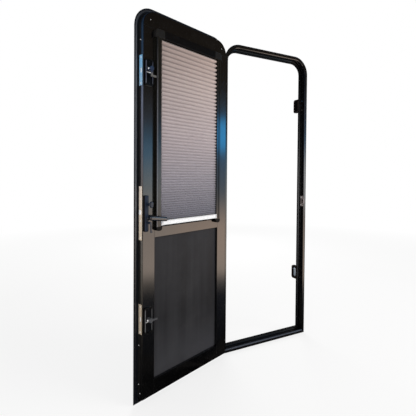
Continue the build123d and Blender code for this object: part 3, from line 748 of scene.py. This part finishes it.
# strips along the leaf's lock edge and round its head: ribbed seal, satin strip, lining and bead on the lip
edgeStrips = {
    "arcSteps": 14, "foot": 0.004, "plateGap": 0.001,
    "seal": {
        "front": -0.0064, "back": 0.0058, "rise": 0.0011, "dip": 0.0006, "sharp": 25,
        "ribs": [(0, 0), (0.02, 0.6), (0.16, 1), (0.33, 0.45), (0.5, 1), (0.67, 0.45), (0.84, 1), (0.98, 0.6),
                 (1, 0)],
    },
    "satin": {"front": 0.0078, "back": 0.0214, "rise": 0.0006, "dip": 0.0006, "soft": 0.0012, "sharp": 20},
    "lining": {"outer": 0.0012, "inner": 0.0252, "rise": 0.0004, "dip": 0.0004, "foot": 0.002, "sharp": 20},
    "bead": {
        "inset": 0.0105, "half": 0.0046, "rise": 0.0010, "dip": 0.0005, "foot": 0.010,
        "steps": 8, "sharp": 40,
    },
}
outward = Vector((1, 0, 0))


def headRoute(node, inset):
    high = shutBox(node)[1]
    top = shutBox("leaf_top_rail")
    radius = high.x - top[1].x + top[1].z - top[0].z       # its arcs start at the joints with the stiles
    return archRoute(high.x, high.z, radius, inset, edgeStrips["arcSteps"])


def edgeRuns():
    stile = shutBox("leaf_lock_stile")
    gap = edgeStrips["plateGap"]
    breaks = [stile[0].z + edgeStrips["foot"]]
    for name in ("lower", "middle", "upper"):
        plate = shutBox(name + "_face_plate")
        breaks += [plate[0].z - gap, plate[1].z + gap]
    runs = []
    for index in range(0, len(breaks) - 1, 2):
        runs.append([(Vector((stile[1].x, 0, level)), outward) for level in breaks[index:index + 2]])
    runs.append([(Vector((stile[1].x, 0, breaks[-1])), outward)] + headRoute("leaf_top_rail", 0))
    return runs


def sweepStrip(name, runs, section, slot, finish, sharp):
    work = bmesh.new()
    for run in runs:
        skinCapped(work, [ring(work, [point + Vector((0, depth, 0)) + out * rise for depth, rise in section])
                          for point, out in run])
    addPiece(name, work, slot, "leaf", finish, sharp)


def makeEdgeStrips():
    look = edgeStrips["seal"]
    span = look["back"] - look["front"]
    section = [(look["front"] + span * across, rise * look["rise"]) for across, rise in look["ribs"]]
    section += [(look["back"], -look["dip"]), (look["front"], -look["dip"])]
    sweepStrip("edgeSeal", edgeRuns(), section, "seal_rubber", None, look["sharp"])
    look = edgeStrips["satin"]
    front, back, soft = look["front"], look["back"], look["soft"]
    section = [(front, 0), (front + soft, look["rise"]), (back - soft, look["rise"]), (back, 0)]
    section += [(back, -look["dip"]), (front, -look["dip"])]
    sweepStrip("edgeStrip", edgeRuns(), section, "black_coat", edgeFinish, look["sharp"])


def makeLipStrips():
    low, high = shutBox("outer_skin")
    face = high.y
    look = edgeStrips["lining"]
    start = Vector((high.x, 0, low.z + look["foot"]))
    section = [(face + look["rise"], -look["outer"]), (face + look["rise"], -look["inner"])]
    section += [(face - look["dip"], -look["inner"]), (face - look["dip"], -look["outer"])]
    route = [(start, outward)] + headRoute("outer_skin", 0)
    sweepStrip("lipLining", [route], section, "seal_rubber", liningFinish, look["sharp"])
    look = edgeStrips["bead"]
    start = Vector((high.x - look["inset"], 0, low.z + look["foot"]))
    section = []
    for step in range(look["steps"] + 1):
        turn = math.pi * step / look["steps"]
        section.append((face + look["rise"] * math.sin(turn), -look["half"] * math.cos(turn)))
    section += [(face - look["dip"], look["half"]), (face - look["dip"], -look["half"])]
    route = [(start, outward)] + headRoute("outer_skin", look["inset"])
    sweepStrip("lipBead", [route], section, "black_coat", lipFinish, look["sharp"])


makeEdgeStrips()
makeLipStrips()
print("door: bar caps and edge strips")

# raised rims round the lock plates, with a bar across each
lockRim = {"section": [(0.0006, -0.0002), (0.0006, 0.0084), (-0.0002, 0.0094), (-0.0026, 0.0094),
                       (-0.0032, 0.0086), (-0.0032, 0.0058)], "corner": 0.005, "steps": 6}
lockBar = {
    "radius": 0.0017, "steps": 8, "fall": {"upper": 0.0150, "lower": 0.0118}, "reach": 0.028, "tuck": 0.0004,
}
tightCorner = 0.0008                           # no outline's corner is tighter


def raisedRings(work, low, high, section, corner, steps):
    rings = []
    for grow, rise in section:
        outline = roundedOutline(low.x - grow, high.x + grow, low.z - grow, high.z + grow,
                                 max(tightCorner, corner + grow), steps)
        rings.append(ring(work, [(x, low.y + rise, z) for x, z in outline]))
    skinRings(work, rings)
    return rings


def halfRound(work, start, end, radius, steps, sink=0.2):
    out = Vector((0, 1, 0))
    side = (end - start).normalized().cross(out)
    turns = [math.pi * step / steps for step in range(steps + 1)]
    arc = [(side * math.cos(turn) * radius, out * (math.sin(turn) - sink) * radius) for turn in turns]
    skinCapped(work, [ring(work, [point + across + up for across, up in arc]) for point in (start, end)])


def makeLockRims():
    work, bars = bmesh.new(), bmesh.new()
    for name in ("upper", "lower"):
        low, high = shutBox(name + "_lock_plate")
        rings = raisedRings(work, low, high, lockRim["section"], lockRim["corner"], lockRim["steps"])
        skinRings(work, [rings[-1], rings[0]])
        spot = jointSpot(name + "_knob_turn")
        level = spot.z - lockBar["fall"][name]
        inner = high.x + lockRim["section"][-1][0]
        ends = [Vector((x, high.y, level)) for x in (inner + lockBar["tuck"], inner - lockBar["reach"])]
        halfRound(bars, *ends, lockBar["radius"], lockBar["steps"])
    addPiece("lockRims", work, "black_furniture", "leaf", rimFinish)
    addPiece("lockBars", bars, "bolt_steel")


# the lever's narrow crowned case, with a rose round each stem
leverCase = {
    "from": -0.0015, "width": 0.023, "corner": 0.006, "steps": 7,
    "crown": [(-0.0006, 0.0070), (-0.0009, 0.0080), (-0.0020, 0.0089), (-0.0042, 0.0093), (-0.0080, 0.0095)],
    "base": [(0, -0.0002), (0, 0.0072), (-0.0008, 0.0078)],
}
stemRose = {"lever_turn": 0.0105, "snib_turn": 0.0080, "sides": 32, "section": [
    (1, -0.0002), (1, 0.0104), (0.95, 0.0110), (0.72, 0.0113), (0.66, 0.0106), (0.6, 0.0080)]}


def makeLeverCase():
    low, high = shutBox("escutcheon")
    high.x += leverCase["from"]
    low.x = high.x - leverCase["width"]
    made = {}
    for layer, name, slot, finish in (("crown", "leverCase", "black_furniture", caseFinish),
                                      ("base", "leverCaseBase", "black_plastic", None)):
        work = bmesh.new()
        rings = raisedRings(work, low, high, leverCase[layer], leverCase["corner"], leverCase["steps"])
        work.faces.new(rings[0])
        work.faces.new(rings[-1])
        made[layer] = addPiece(name, work, slot, "leaf", finish)
    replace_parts(made["crown"], "escutcheon")
    work = bmesh.new()
    for name in ("lever_turn", "snib_turn"):
        section = [(stemRose[name] * share, low.y + rise) for share, rise in stemRose["section"]]
        post(work, jointSpot(name), section, stemRose["sides"])
    addPiece("stemRoses", work, "black_furniture", "leaf", caseFinish)


# cast lever handles: a round neck, and a crowned grip that droops a little toward its tip
leverGrip = {
    "length": 0.091, "hub": 0.0120, "rise": 0.0045, "fall": 0.0085, "height": 0.0240, "tipHeight": 0.0215,
    "back": 0.0125, "proud": 0.0010, "power": 2.5, "round": 0.009, "rings": 30, "sides": 32,
    "neck": [(1.30, 0.0), (1.30, 0.10), (1.06, 0.16), (1.0, 0.24), (1.0, 0.74), (1.2, 0.92), (1.3, 1.1)],
    "neckRadius": 0.0075, "gap": 0.0004, "blunt": 0.02, "sharp": 50,
}


def gripSections(spot, middle, thick):
    look = leverGrip
    start, end = spot.x + look["hub"], spot.x - look["length"]
    sections = []
    for step in range(look["rings"] + 1):
        share = (1 - math.cos(math.pi * step / look["rings"])) / 2       # rings crowd toward both ends
        x = start + (end - start) * share
        near = min(abs(x - start), abs(x - end), look["round"]) / look["round"]
        full = look["blunt"] + math.sqrt(max(0.0, 1 - (1 - near) ** 2)) * (1 - look["blunt"])
        tall = (look["height"] + (look["tipHeight"] - look["height"]) * share) / 2 * full
        level = spot.z + look["rise"] - (look["rise"] + look["fall"]) * share
        outline = []
        for across, up in circle(look["sides"]):
            across = math.copysign(abs(across) ** (2 / look["power"]), across)
            up = math.copysign(abs(up) ** (2 / look["power"]), up)
            outline.append((x, middle + across * thick / 2 * full, level + up * tall))
        sections.append(outline)
    return sections


def makeLever(name, node, foot):
    look = leverGrip
    low, high = shutBox(node)
    spot = jointSpot("lever_turn")
    inside = node == "lever_handle"
    face = high.y + look["proud"] if inside else low.y - look["proud"]
    back = high.y - look["back"] if inside else low.y + look["back"]
    work = bmesh.new()
    sections = gripSections(spot, (face + back) / 2, abs(face - back))
    skinCapped(work, [ring(work, outline) for outline in sections])
    neck = [(reach * look["neckRadius"], foot + (back - foot) * share) for reach, share in look["neck"]]
    post(work, spot, neck, look["sides"])
    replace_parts(addPiece(name, work, "black_furniture", "lever", polish, look["sharp"]), node)


# beads of sealant in the joints between the stiles and the rails
jointBead = {"radius": 0.0009, "steps": 6, "sunk": 0.0004, "sharp": 50}


def makeJointBeads():
    work = bmesh.new()
    face = shutBox("leaf_lock_stile")[1].y - jointBead["sunk"]
    runs = []
    for name in ("leaf_mid_rail", "leaf_bottom_rail"):
        low, high = shutBox(name)
        runs += [((x, face, low.z), (x, face, high.z)) for x in (low.x, high.x)]
    for name in ("leaf_lock_stile", "leaf_hinge_stile"):
        low, high = shutBox(name)
        runs.append(((low.x, face, high.z), (high.x, face, high.z)))
    for start, end in runs:
        halfRound(work, Vector(start), Vector(end), jointBead["radius"], jointBead["steps"])
    addPiece("jointBeads", work, "seal_rubber", sharp=jointBead["sharp"])


makeLockRims()
makeLeverCase()
makeLever("leverGrip", "lever_handle", shutBox("escutcheon")[1].y)
makeLever("outsideGrip", "outside_lever", shutBox("outside_plate")[0].y - leverGrip["gap"])
makeJointBeads()
print("door: lock rims, lever case, levers and joint beads")

# screws: domed heads with a cross recess, many in one mesh
crossScrew = {"sides": 20, "arm": 0.58, "slot": 0.15, "recess": 0.45, "dome": [
    (1, -0.4), (1, 0.25), (0.93, 0.6), (0.78, 0.85), (0.66, 0.95)]}


def screwHead(work, place, radius, rise):
    rings = []
    for reach, height in crossScrew["dome"]:
        rings.append(ring(work, [place @ Vector((across * radius * reach, up * radius * reach, height * rise))
                                 for across, up in circle(crossScrew["sides"])]))
    skinRings(work, rings)
    work.faces.new(rings[0])
    arm, slot = crossScrew["arm"] * radius, crossScrew["slot"] * radius
    outline = []
    for quarter in range(4):
        turn = Matrix.Rotation(math.tau * quarter / 4, 3, "Z")
        outline += [turn @ Vector(corner) for corner in ((slot, slot, 0), (slot, arm, 0), (-slot, arm, 0))]
    top = ring(work, [place @ (corner + Vector((0, 0, rise))) for corner in outline])
    sunk = Vector((0, 0, rise * (1 - crossScrew["recess"])))
    floor = ring(work, [place @ (corner + sunk) for corner in outline])
    skinRings(work, [top, floor])
    work.faces.new(floor)
    loops = []
    for loop in (rings[-1], top):
        for first, second in zip(loop, loop[1:] + loop[:1]):
            loops.append(work.edges.get((first, second)) or work.edges.new((first, second)))
    bmesh.ops.triangle_fill(work, edges=loops, use_beauty=True)


def facing(point, direction):
    return Matrix.Translation(point) @ Vector(direction).to_track_quat("Z", "Y").to_matrix().to_4x4()


def addScrews(name, places, direction, look, slot, body="leaf", finish=None):
    work = bmesh.new()
    for point in places:
        screwHead(work, facing(point, direction), look["radius"], look["rise"])
    addPiece(name, work, slot, body, finish)


plateScrew = {"radius": 0.0036, "rise": 0.0009, "inset": 0.011, "innerUp": 0.052, "innerDown": 0.030}


def makePlateScrews():
    places = []
    for name in ("upper", "middle", "lower"):
        low, high = shutBox(name + "_face_plate")
        middle = (low.y + high.y) / 2
        levels = [low.z + plateScrew["inset"], high.z - plateScrew["inset"]]
        if name == "middle":
            latch = shutBox("latch_bolt")
            levels += [latch[1].z + plateScrew["innerUp"], latch[0].z - plateScrew["innerDown"]]
        places += [Vector((high.x, middle, level)) for level in levels]
    addScrews("facePlateScrews", places, outward, plateScrew, "bolt_steel")


edgeRivet = {"radius": 0.0022, "rise": 0.0014, "seat": 0.6, "spots": [
    (0.0043, 1.6975), (-0.0035, 0.266), (-0.0035, 0.0795), (0.005, 0.0385)]}


def makeEdgeRivets():
    edge = shutBox("leaf_lock_stile")[1].x + edgeStrips["seal"]["rise"] * edgeRivet["seat"]
    places = [Vector((edge, depth, level)) for depth, level in edgeRivet["spots"]]
    addScrews("edgeRivets", places, outward, edgeRivet, "bolt_steel")


railRivet = {"radius": 0.0017, "rise": 0.0009, "inset": 0.043, "level": 1.7975}


def makeRailRivets():
    high = shutBox("leaf_top_rail")[1]
    places = [Vector((side * (high.x - railRivet["inset"]), high.y, railRivet["level"])) for side in (1, -1)]
    addScrews("railRivets", places, (0, 1, 0), railRivet, "bolt_steel")


lockScrew = {"radius": 0.0034, "rise": 0.0014, "inset": 0.010}


def makeLockPlateScrews():
    places = []
    for name in ("upper", "lower"):
        low, high = shutBox(name + "_lock_plate")
        middle = (low.x + high.x) / 2
        for level in (low.z + lockScrew["inset"], high.z - lockScrew["inset"]):
            places.append(Vector((middle, high.y, level)))
    addScrews("lockPlateScrews", places, (0, 1, 0), lockScrew, "black_furniture")


grubScrew = {"radius": 0.0046, "rise": 0.0020, "boss": 0.011, "seat": 0.985, "depth": 0.010}


def makeGrubScrews():
    look = grubScrew
    for name in ("upper", "lower"):
        centre = jointSpot(name + "_knob_turn")
        plate = shutBox(name + "_lock_plate")[1].y
        spot = Vector((centre.x + look["boss"] * look["seat"], plate + look["depth"], centre.z))
        addScrews(name + "GrubScrew", [spot], outward, look, "bolt_steel", name + "_knob")


strikeScrew = {"radius": 0.0036, "rise": 0.0010, "under": 0.0015, "spots": [(0.018, -0.026), (0.018, 0.026)]}
keepScrew = {"radius": 0.0026, "rise": 0.0010, "under": 0.0015, "spots": [
    (0.020, -0.030), (0.020, 0.030), (0.0285, 0.0)]}


def jambSpots(node, look):
    low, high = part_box(node)
    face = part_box("upper_keep")[1].x - look["under"]
    return [Vector((face, depth, (low.z + high.z) / 2 + shift)) for depth, shift in look["spots"]]


def makeJambScrews():
    places = jambSpots("strike_plate", strikeScrew)
    addScrews("strikeScrews", places, (-1, 0, 0), strikeScrew, "bolt_steel", "frame")
    places = jambSpots("upper_keep", keepScrew) + jambSpots("lower_keep", keepScrew)
    addScrews("keepScrews", places, (-1, 0, 0), keepScrew, "black_furniture", "frame", turnFinish)


# rubber trim clipped over the bevelled edge of the frame's flange
frameTrim = {"reach": 0.005, "radius": 0.105, "arcSteps": 20, "section": [
    (0.0036, -0.0038), (0.0032, -0.00435), (0.0026, -0.00435), (-0.0010, -0.00285), (-0.0046, -0.00115),
    (-0.00495, -0.0007), (-0.0046, -0.0004)]}


def makeFrameTrim():
    look = frameTrim
    low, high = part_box("frame_surround")
    x, top, foot = high.x - look["reach"], high.z - look["reach"], low.z + look["reach"]
    route = [(Vector((side * x, 0, foot)), Vector((side, 0, -1))) for side in (1, -1)]
    route[1:1] = archRoute(x, top, look["radius"], 0, look["arcSteps"])
    work = bmesh.new()
    rings = [ring(work, [point - out * inset + Vector((0, depth, 0)) for inset, depth in look["section"]])
             for point, out in route]
    skinRings(work, rings + [rings[0]])
    addPiece("frameTrim", work, "seal_rubber", "frame")


# cups behind the jamb's openings, and what lines the keeps
boltCup = {"behind": 0.0026, "deep": 0.010, "wall": 0.0008, "ends": 0.0030, "front": 0.0006, "back": 0.0018}
keepLining = {"front": 0.004, "inset": 0.0035, "round": 0.010, "steps": 6, "sharp": 60, "section": [
    (0.0, 0.0004), (0.0006, -0.00063), (0.0015, -0.0009), (0.0024, -0.00063), (0.0030, 0.0004)]}
keepInsert = {"floor": 0.0060, "margin": 0.0150, "round": 0.013, "tight": 0.001, "steps": 6, "section": [
    (0, 0.0003), (0, -0.0008), (-0.0006, -0.0012), (-0.0070, -0.0040), (-0.0095, -0.0046)]}


def makeBoltCups():
    look = boltCup
    work = bmesh.new()
    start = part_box("upper_keep")[1].x + look["behind"]
    end = start + look["deep"]
    for name in ("upper_bolt", "latch_bolt", "lower_bolt"):
        low, high = shutBox(name)
        middle, half = (low.z + high.z) / 2, (high.z - low.z) / 2 + look["ends"]
        rings = []
        for x, wall in ((end, 0), (start, 0), (start, look["wall"]), (end + look["wall"], look["wall"])):
            front, back = low.y - look["front"] - wall, high.y + look["back"] + wall
            below, above = middle - half - wall, middle + half + wall
            corners = [(front, below), (back, below), (back, above), (front, above)]
            rings.append(ring(work, [(x, depth, level) for depth, level in corners]))
        skinCapped(work, rings)
    addPiece("boltCups", work, "black_plastic", "frame", sharp=None)


def keepRing(work, node, x, inset, radius, steps):
    low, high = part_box(node)
    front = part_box("frame_seal")[0].y + keepLining["front"]
    outline = roundedOutline(front + inset, high.y - inset, low.z + inset, high.z - inset, radius, steps)
    return ring(work, [(low.x + x, depth, level) for depth, level in outline])


def makeKeepLinings():
    look = keepLining
    for name in ("upper", "lower"):
        work = bmesh.new()
        rings = []
        for inset, x in look["section"]:
            corner = look["round"] - inset
            rings.append(keepRing(work, name + "_keep", x, look["inset"] + inset, corner, look["steps"]))
        skinRings(work, rings + [rings[0]])
        addPiece(name + "KeepRim", work, "black_plastic", "frame", rimPlastic, look["sharp"])
    look = keepInsert                          # a bright striking plate lies in the lower keep
    work = bmesh.new()
    rings = []
    for grow, x in look["section"]:
        corner = max(look["tight"], look["round"] + grow)
        x += look["floor"]
        rings.append(keepRing(work, "lower_keep", x, look["margin"] - grow, corner, look["steps"]))
    skinCapped(work, rings)
    addPiece("lowerKeepInsert", work, "plate_steel", "frame", keepFinish)


makeFrameTrim()
makeBoltCups()
makeKeepLinings()
makePlateScrews()
makeEdgeRivets()
makeRailRivets()
makeLockPlateScrews()
makeGrubScrews()
makeJambScrews()
print("door: frame trim, bolt cups, keep linings, screws and rivets")

# floor, light and camera
stageLook = {
    "floor": (0.90, 0.90, 0.90), "roughness": 0.9, "gloss": 0.1, "level": -0.021, "reach": 30,
    "glow": 0.76, "fadeFrom": 2.2, "fadeOver": 3.5, "ambient": 0.37,
}


def lightPath(finish):
    eyes = [finish.node("ShaderNodeLightPath", {}, {}, way)
            for way in ("Is Camera Ray", "Is Glossy Ray", "Is Transmission Ray")]
    return (eyes[0] + eyes[1] + eyes[2]).held()


def addStage(name, work, looks):
    holder = addMesh(name, work, looks)
    return holder


def glossOnly(holder):
    holder.visible_camera = False
    holder.visible_diffuse = False
    holder.visible_shadow = False
    holder.visible_transmission = False


def glowing(name, colour):
    finish = Finish(name)
    finish.surface(finish.glow(colour))
    return finish.material


def makeFloor():
    look = stageLook
    work = bmesh.new()
    reach, level = look["reach"], look["level"]
    corners = [(-reach, -reach), (reach, -reach), (reach, reach), (-reach, reach)]
    work.faces.new(ring(work, [(x, y, level) for x, y in corners]))
    finish = Finish("pale_floor")
    finish.set(Base_Color=look["floor"], Roughness=look["roughness"], Specular_IOR_Level=look["gloss"])
    body = Flow(finish, finish.shader.outputs[0])
    away = finish.vector("LENGTH", finish.place(), out="Value")
    far = away.past(look["fadeFrom"], look["fadeOver"])            # the far floor fades into white
    share = lightPath(finish) * (look["glow"] + far * (1 - look["glow"]))
    white = finish.glow((1, 1, 1))
    finish.surface(finish.node("ShaderNodeMixShader", {}, {0: share, 1: body, 2: white}))
    addStage("floor", work, [finish.material])


# a round room that only glossy rays see, in front of the white background: dark at the foot and overhead,
# with a warm band, a blue band and two panes between
glossRoom = {
    "centre": (-0.45, -0.12), "radius": 3.0, "height": 4.6, "level": -0.0205, "sides": 96, "hub": 0.02,
    "dark": (0.03, 0.028, 0.026), "lid": (0.018, 0.012, 0.009),
    "front": {"turn": -55, "edge": 0.669, "soft": 0.086, "stops": [
        (0.00, (0.0, 0.0, 0.0)), (0.155, (0.08, 0.085, 0.1)), (0.205, (0.6, 0.53, 0.46)),
        (0.255, (2.3, 1.9, 1.6)), (0.44, (2.0, 1.65, 1.4)), (0.52, (1.05, 1.25, 1.35)),
        (0.58, (0.4, 0.9, 1.4)), (0.64, (0.25, 0.27, 0.32)), (0.70, (0.1, 0.08, 0.06)),
        (1.00, (0.02, 0.01, 0.006))]},
    "side": {"turn": -19, "edge": 0.965, "soft": 0.02, "stops": [
        (0.00, (0.0, 0.0, 0.0)), (0.155, (0.06, 0.065, 0.085)), (0.205, (0.45, 0.41, 0.38)),
        (0.26, (2.1, 1.7, 1.4)), (0.44, (2.3, 1.75, 1.4)), (0.50, (0.6, 0.7, 0.8)), (0.58, (0.3, 0.6, 1.0)),
        (0.67, (0.2, 0.25, 0.3)), (0.70, (0.1, 0.08, 0.06)), (1.00, (0.02, 0.01, 0.006))]},
    "rear": {"turn": 165, "edge": 0.30, "soft": 0.20, "stops": [
        (0.00, (0.0, 0.0, 0.0)), (0.12, (0.03, 0.03, 0.03)), (0.17, (0.34, 0.28, 0.21)),
        (0.50, (1.1, 0.92, 0.77)), (0.57, (0.85, 0.84, 1.05)), (0.65, (0.96, 1.06, 1.4)),
        (0.755, (0.03, 0.13, 0.32)), (1.00, (0.02, 0.03, 0.05))]},
    "panes": [
        {"turn": -19, "edge": 0.982, "soft": 0.006, "level": 1.64, "half": 0.27, "fade": 0.1,
         "colour": (0.33, 2.1, 4.4)},
        {"turn": -33.8, "edge": 0.9989, "soft": 0.0006, "level": 1.0, "half": 0.55, "fade": 0.35,
         "colour": (3.1, 3.1, 3.1)}],
}


def shareTowards(finish, aim, look):
    turn = math.radians(look["turn"])
    match = finish.vector("DOT_PRODUCT", aim, (math.cos(turn), math.sin(turn), 0), out="Value")
    return match.past(look["edge"], look["soft"])


def makeGlossRoom():
    look = glossRoom
    work = bmesh.new()
    base = Vector((*look["centre"], look["level"]))
    hub, radius, height = look["hub"], look["radius"], look["height"]
    skinCapped(work, [ring(work, [base + Vector((across * reach, up * reach, rise))
                                  for across, up in circle(look["sides"])])
                      for reach, rise in ((hub, 0), (radius, 0), (radius, height), (hub, height))])
    for face in work.faces:
        face.material_index = int(min(corner.co.z for corner in face.verts) > height / 2)
    finish = Finish("gloss_room")
    flat = finish.vector("SUBTRACT", finish.place(), (*look["centre"], 0))
    flat = finish.vector("MULTIPLY", flat, (1, 1, 0))
    away = finish.vector("LENGTH", flat, out="Value")
    aim = finish.vector("NORMALIZE", flat)
    climb = (away + finish.along("Z")) / (radius + height)         # out along the foot, then up
    colour = look["dark"]
    for side in ("front", "side", "rear"):
        band = finish.ramp(climb, look[side]["stops"])
        colour = finish.mix(shareTowards(finish, aim, look[side]), colour, band)
    for pane in look["panes"]:
        near = abs(finish.along("Z") - pane["level"])
        share = near.short(pane["half"], pane["fade"]) * shareTowards(finish, aim, pane)
        colour = finish.mix(share, colour, pane["colour"])
    finish.surface(finish.glow(colour))
    glossOnly(addStage("glossRoom", work, [finish.material, glowing("gloss_lid", look["lid"])]))


# a dark sheet behind the opening, which only the gloss sees
darkInside = {"low": (-1.2, 0.62, -0.01), "high": (1.6, 0.62, 2.7), "colour": (0.012, 0.012, 0.014)}


def makeDarkInside():
    low, high = darkInside["low"], darkInside["high"]
    work = bmesh.new()
    work.faces.new(ring(work, [low, (high[0], high[1], low[2]), high, (low[0], low[1], high[2])]))
    glossOnly(addStage("darkInside", work, [glowing("dark_inside", darkInside["colour"])]))


def makeWorld():
    world = bpy.data.worlds.new("studio")
    bpy.context.scene.world = world
    world.use_nodes = True
    finish = Finish("studio", world.node_tree)
    back = world.node_tree.nodes["Background"]
    seen = lightPath(finish)
    finish.feed(back.inputs["Color"], (1, 1, 1))
    finish.feed(back.inputs["Strength"], stageLook["ambient"] + seen * (1 - stageLook["ambient"]))


softLamps = {
    "key": {"at": (2.6, -3.4, 2.4), "to": (-0.3, -0.1, 1.0), "power": 120, "colour": (1, 0.98, 0.96)},
    "fill": {"at": (-3.6, -3.0, 2.0), "to": (-0.5, -0.1, 0.9), "power": 68, "colour": (0.97, 0.98, 1)},
    "back": {"at": (1.4, 3.6, 2.6), "to": (-0.3, 0.0, 1.0), "power": 105, "colour": (1, 1, 1)},
}
lampSize = 2.6


def makeLamps():
    for name, look in softLamps.items():
        lamp = bpy.data.lights.new(name, "AREA")
        lamp.energy = look["power"]
        lamp.size = lampSize
        lamp.color = look["colour"]
        holder = addObject(name, lamp)
        holder.location = look["at"]
        aim = Vector(look["to"]) - Vector(look["at"])
        holder.rotation_euler = aim.to_track_quat("-Z", "Y").to_euler()
        holder.visible_camera = False
        holder.visible_glossy = False
        holder.visible_transmission = False


photoView = {
    "at": (-1.4094, -1.78292, 1.07491), "right": (0.888803, -0.458239, 0.006816),
    "up": (0.003809, 0.022258, 0.999745), "lens": 29.769366, "sensor": 36,
    "shiftX": 0.018488, "shiftY": -0.062511,
}


def makeCamera():
    look = photoView
    camera = bpy.data.cameras.new("camera")
    camera.lens = look["lens"]
    camera.sensor_width = look["sensor"]
    camera.shift_x = look["shiftX"]
    camera.shift_y = look["shiftY"]
    holder = addObject("camera", camera)
    right, up = Vector(look["right"]), Vector(look["up"])
    facingBack = right.cross(up)
    turn = Matrix((right, up, facingBack)).transposed().to_4x4()
    holder.matrix_world = Matrix.Translation(look["at"]) @ turn
    bpy.context.scene.camera = holder


makeFloor()
makeGlossRoom()
makeDarkInside()
makeWorld()
makeLamps()
makeCamera()
bpy.context.scene.view_settings.view_transform = "Standard"
print("door: stage, light and camera")
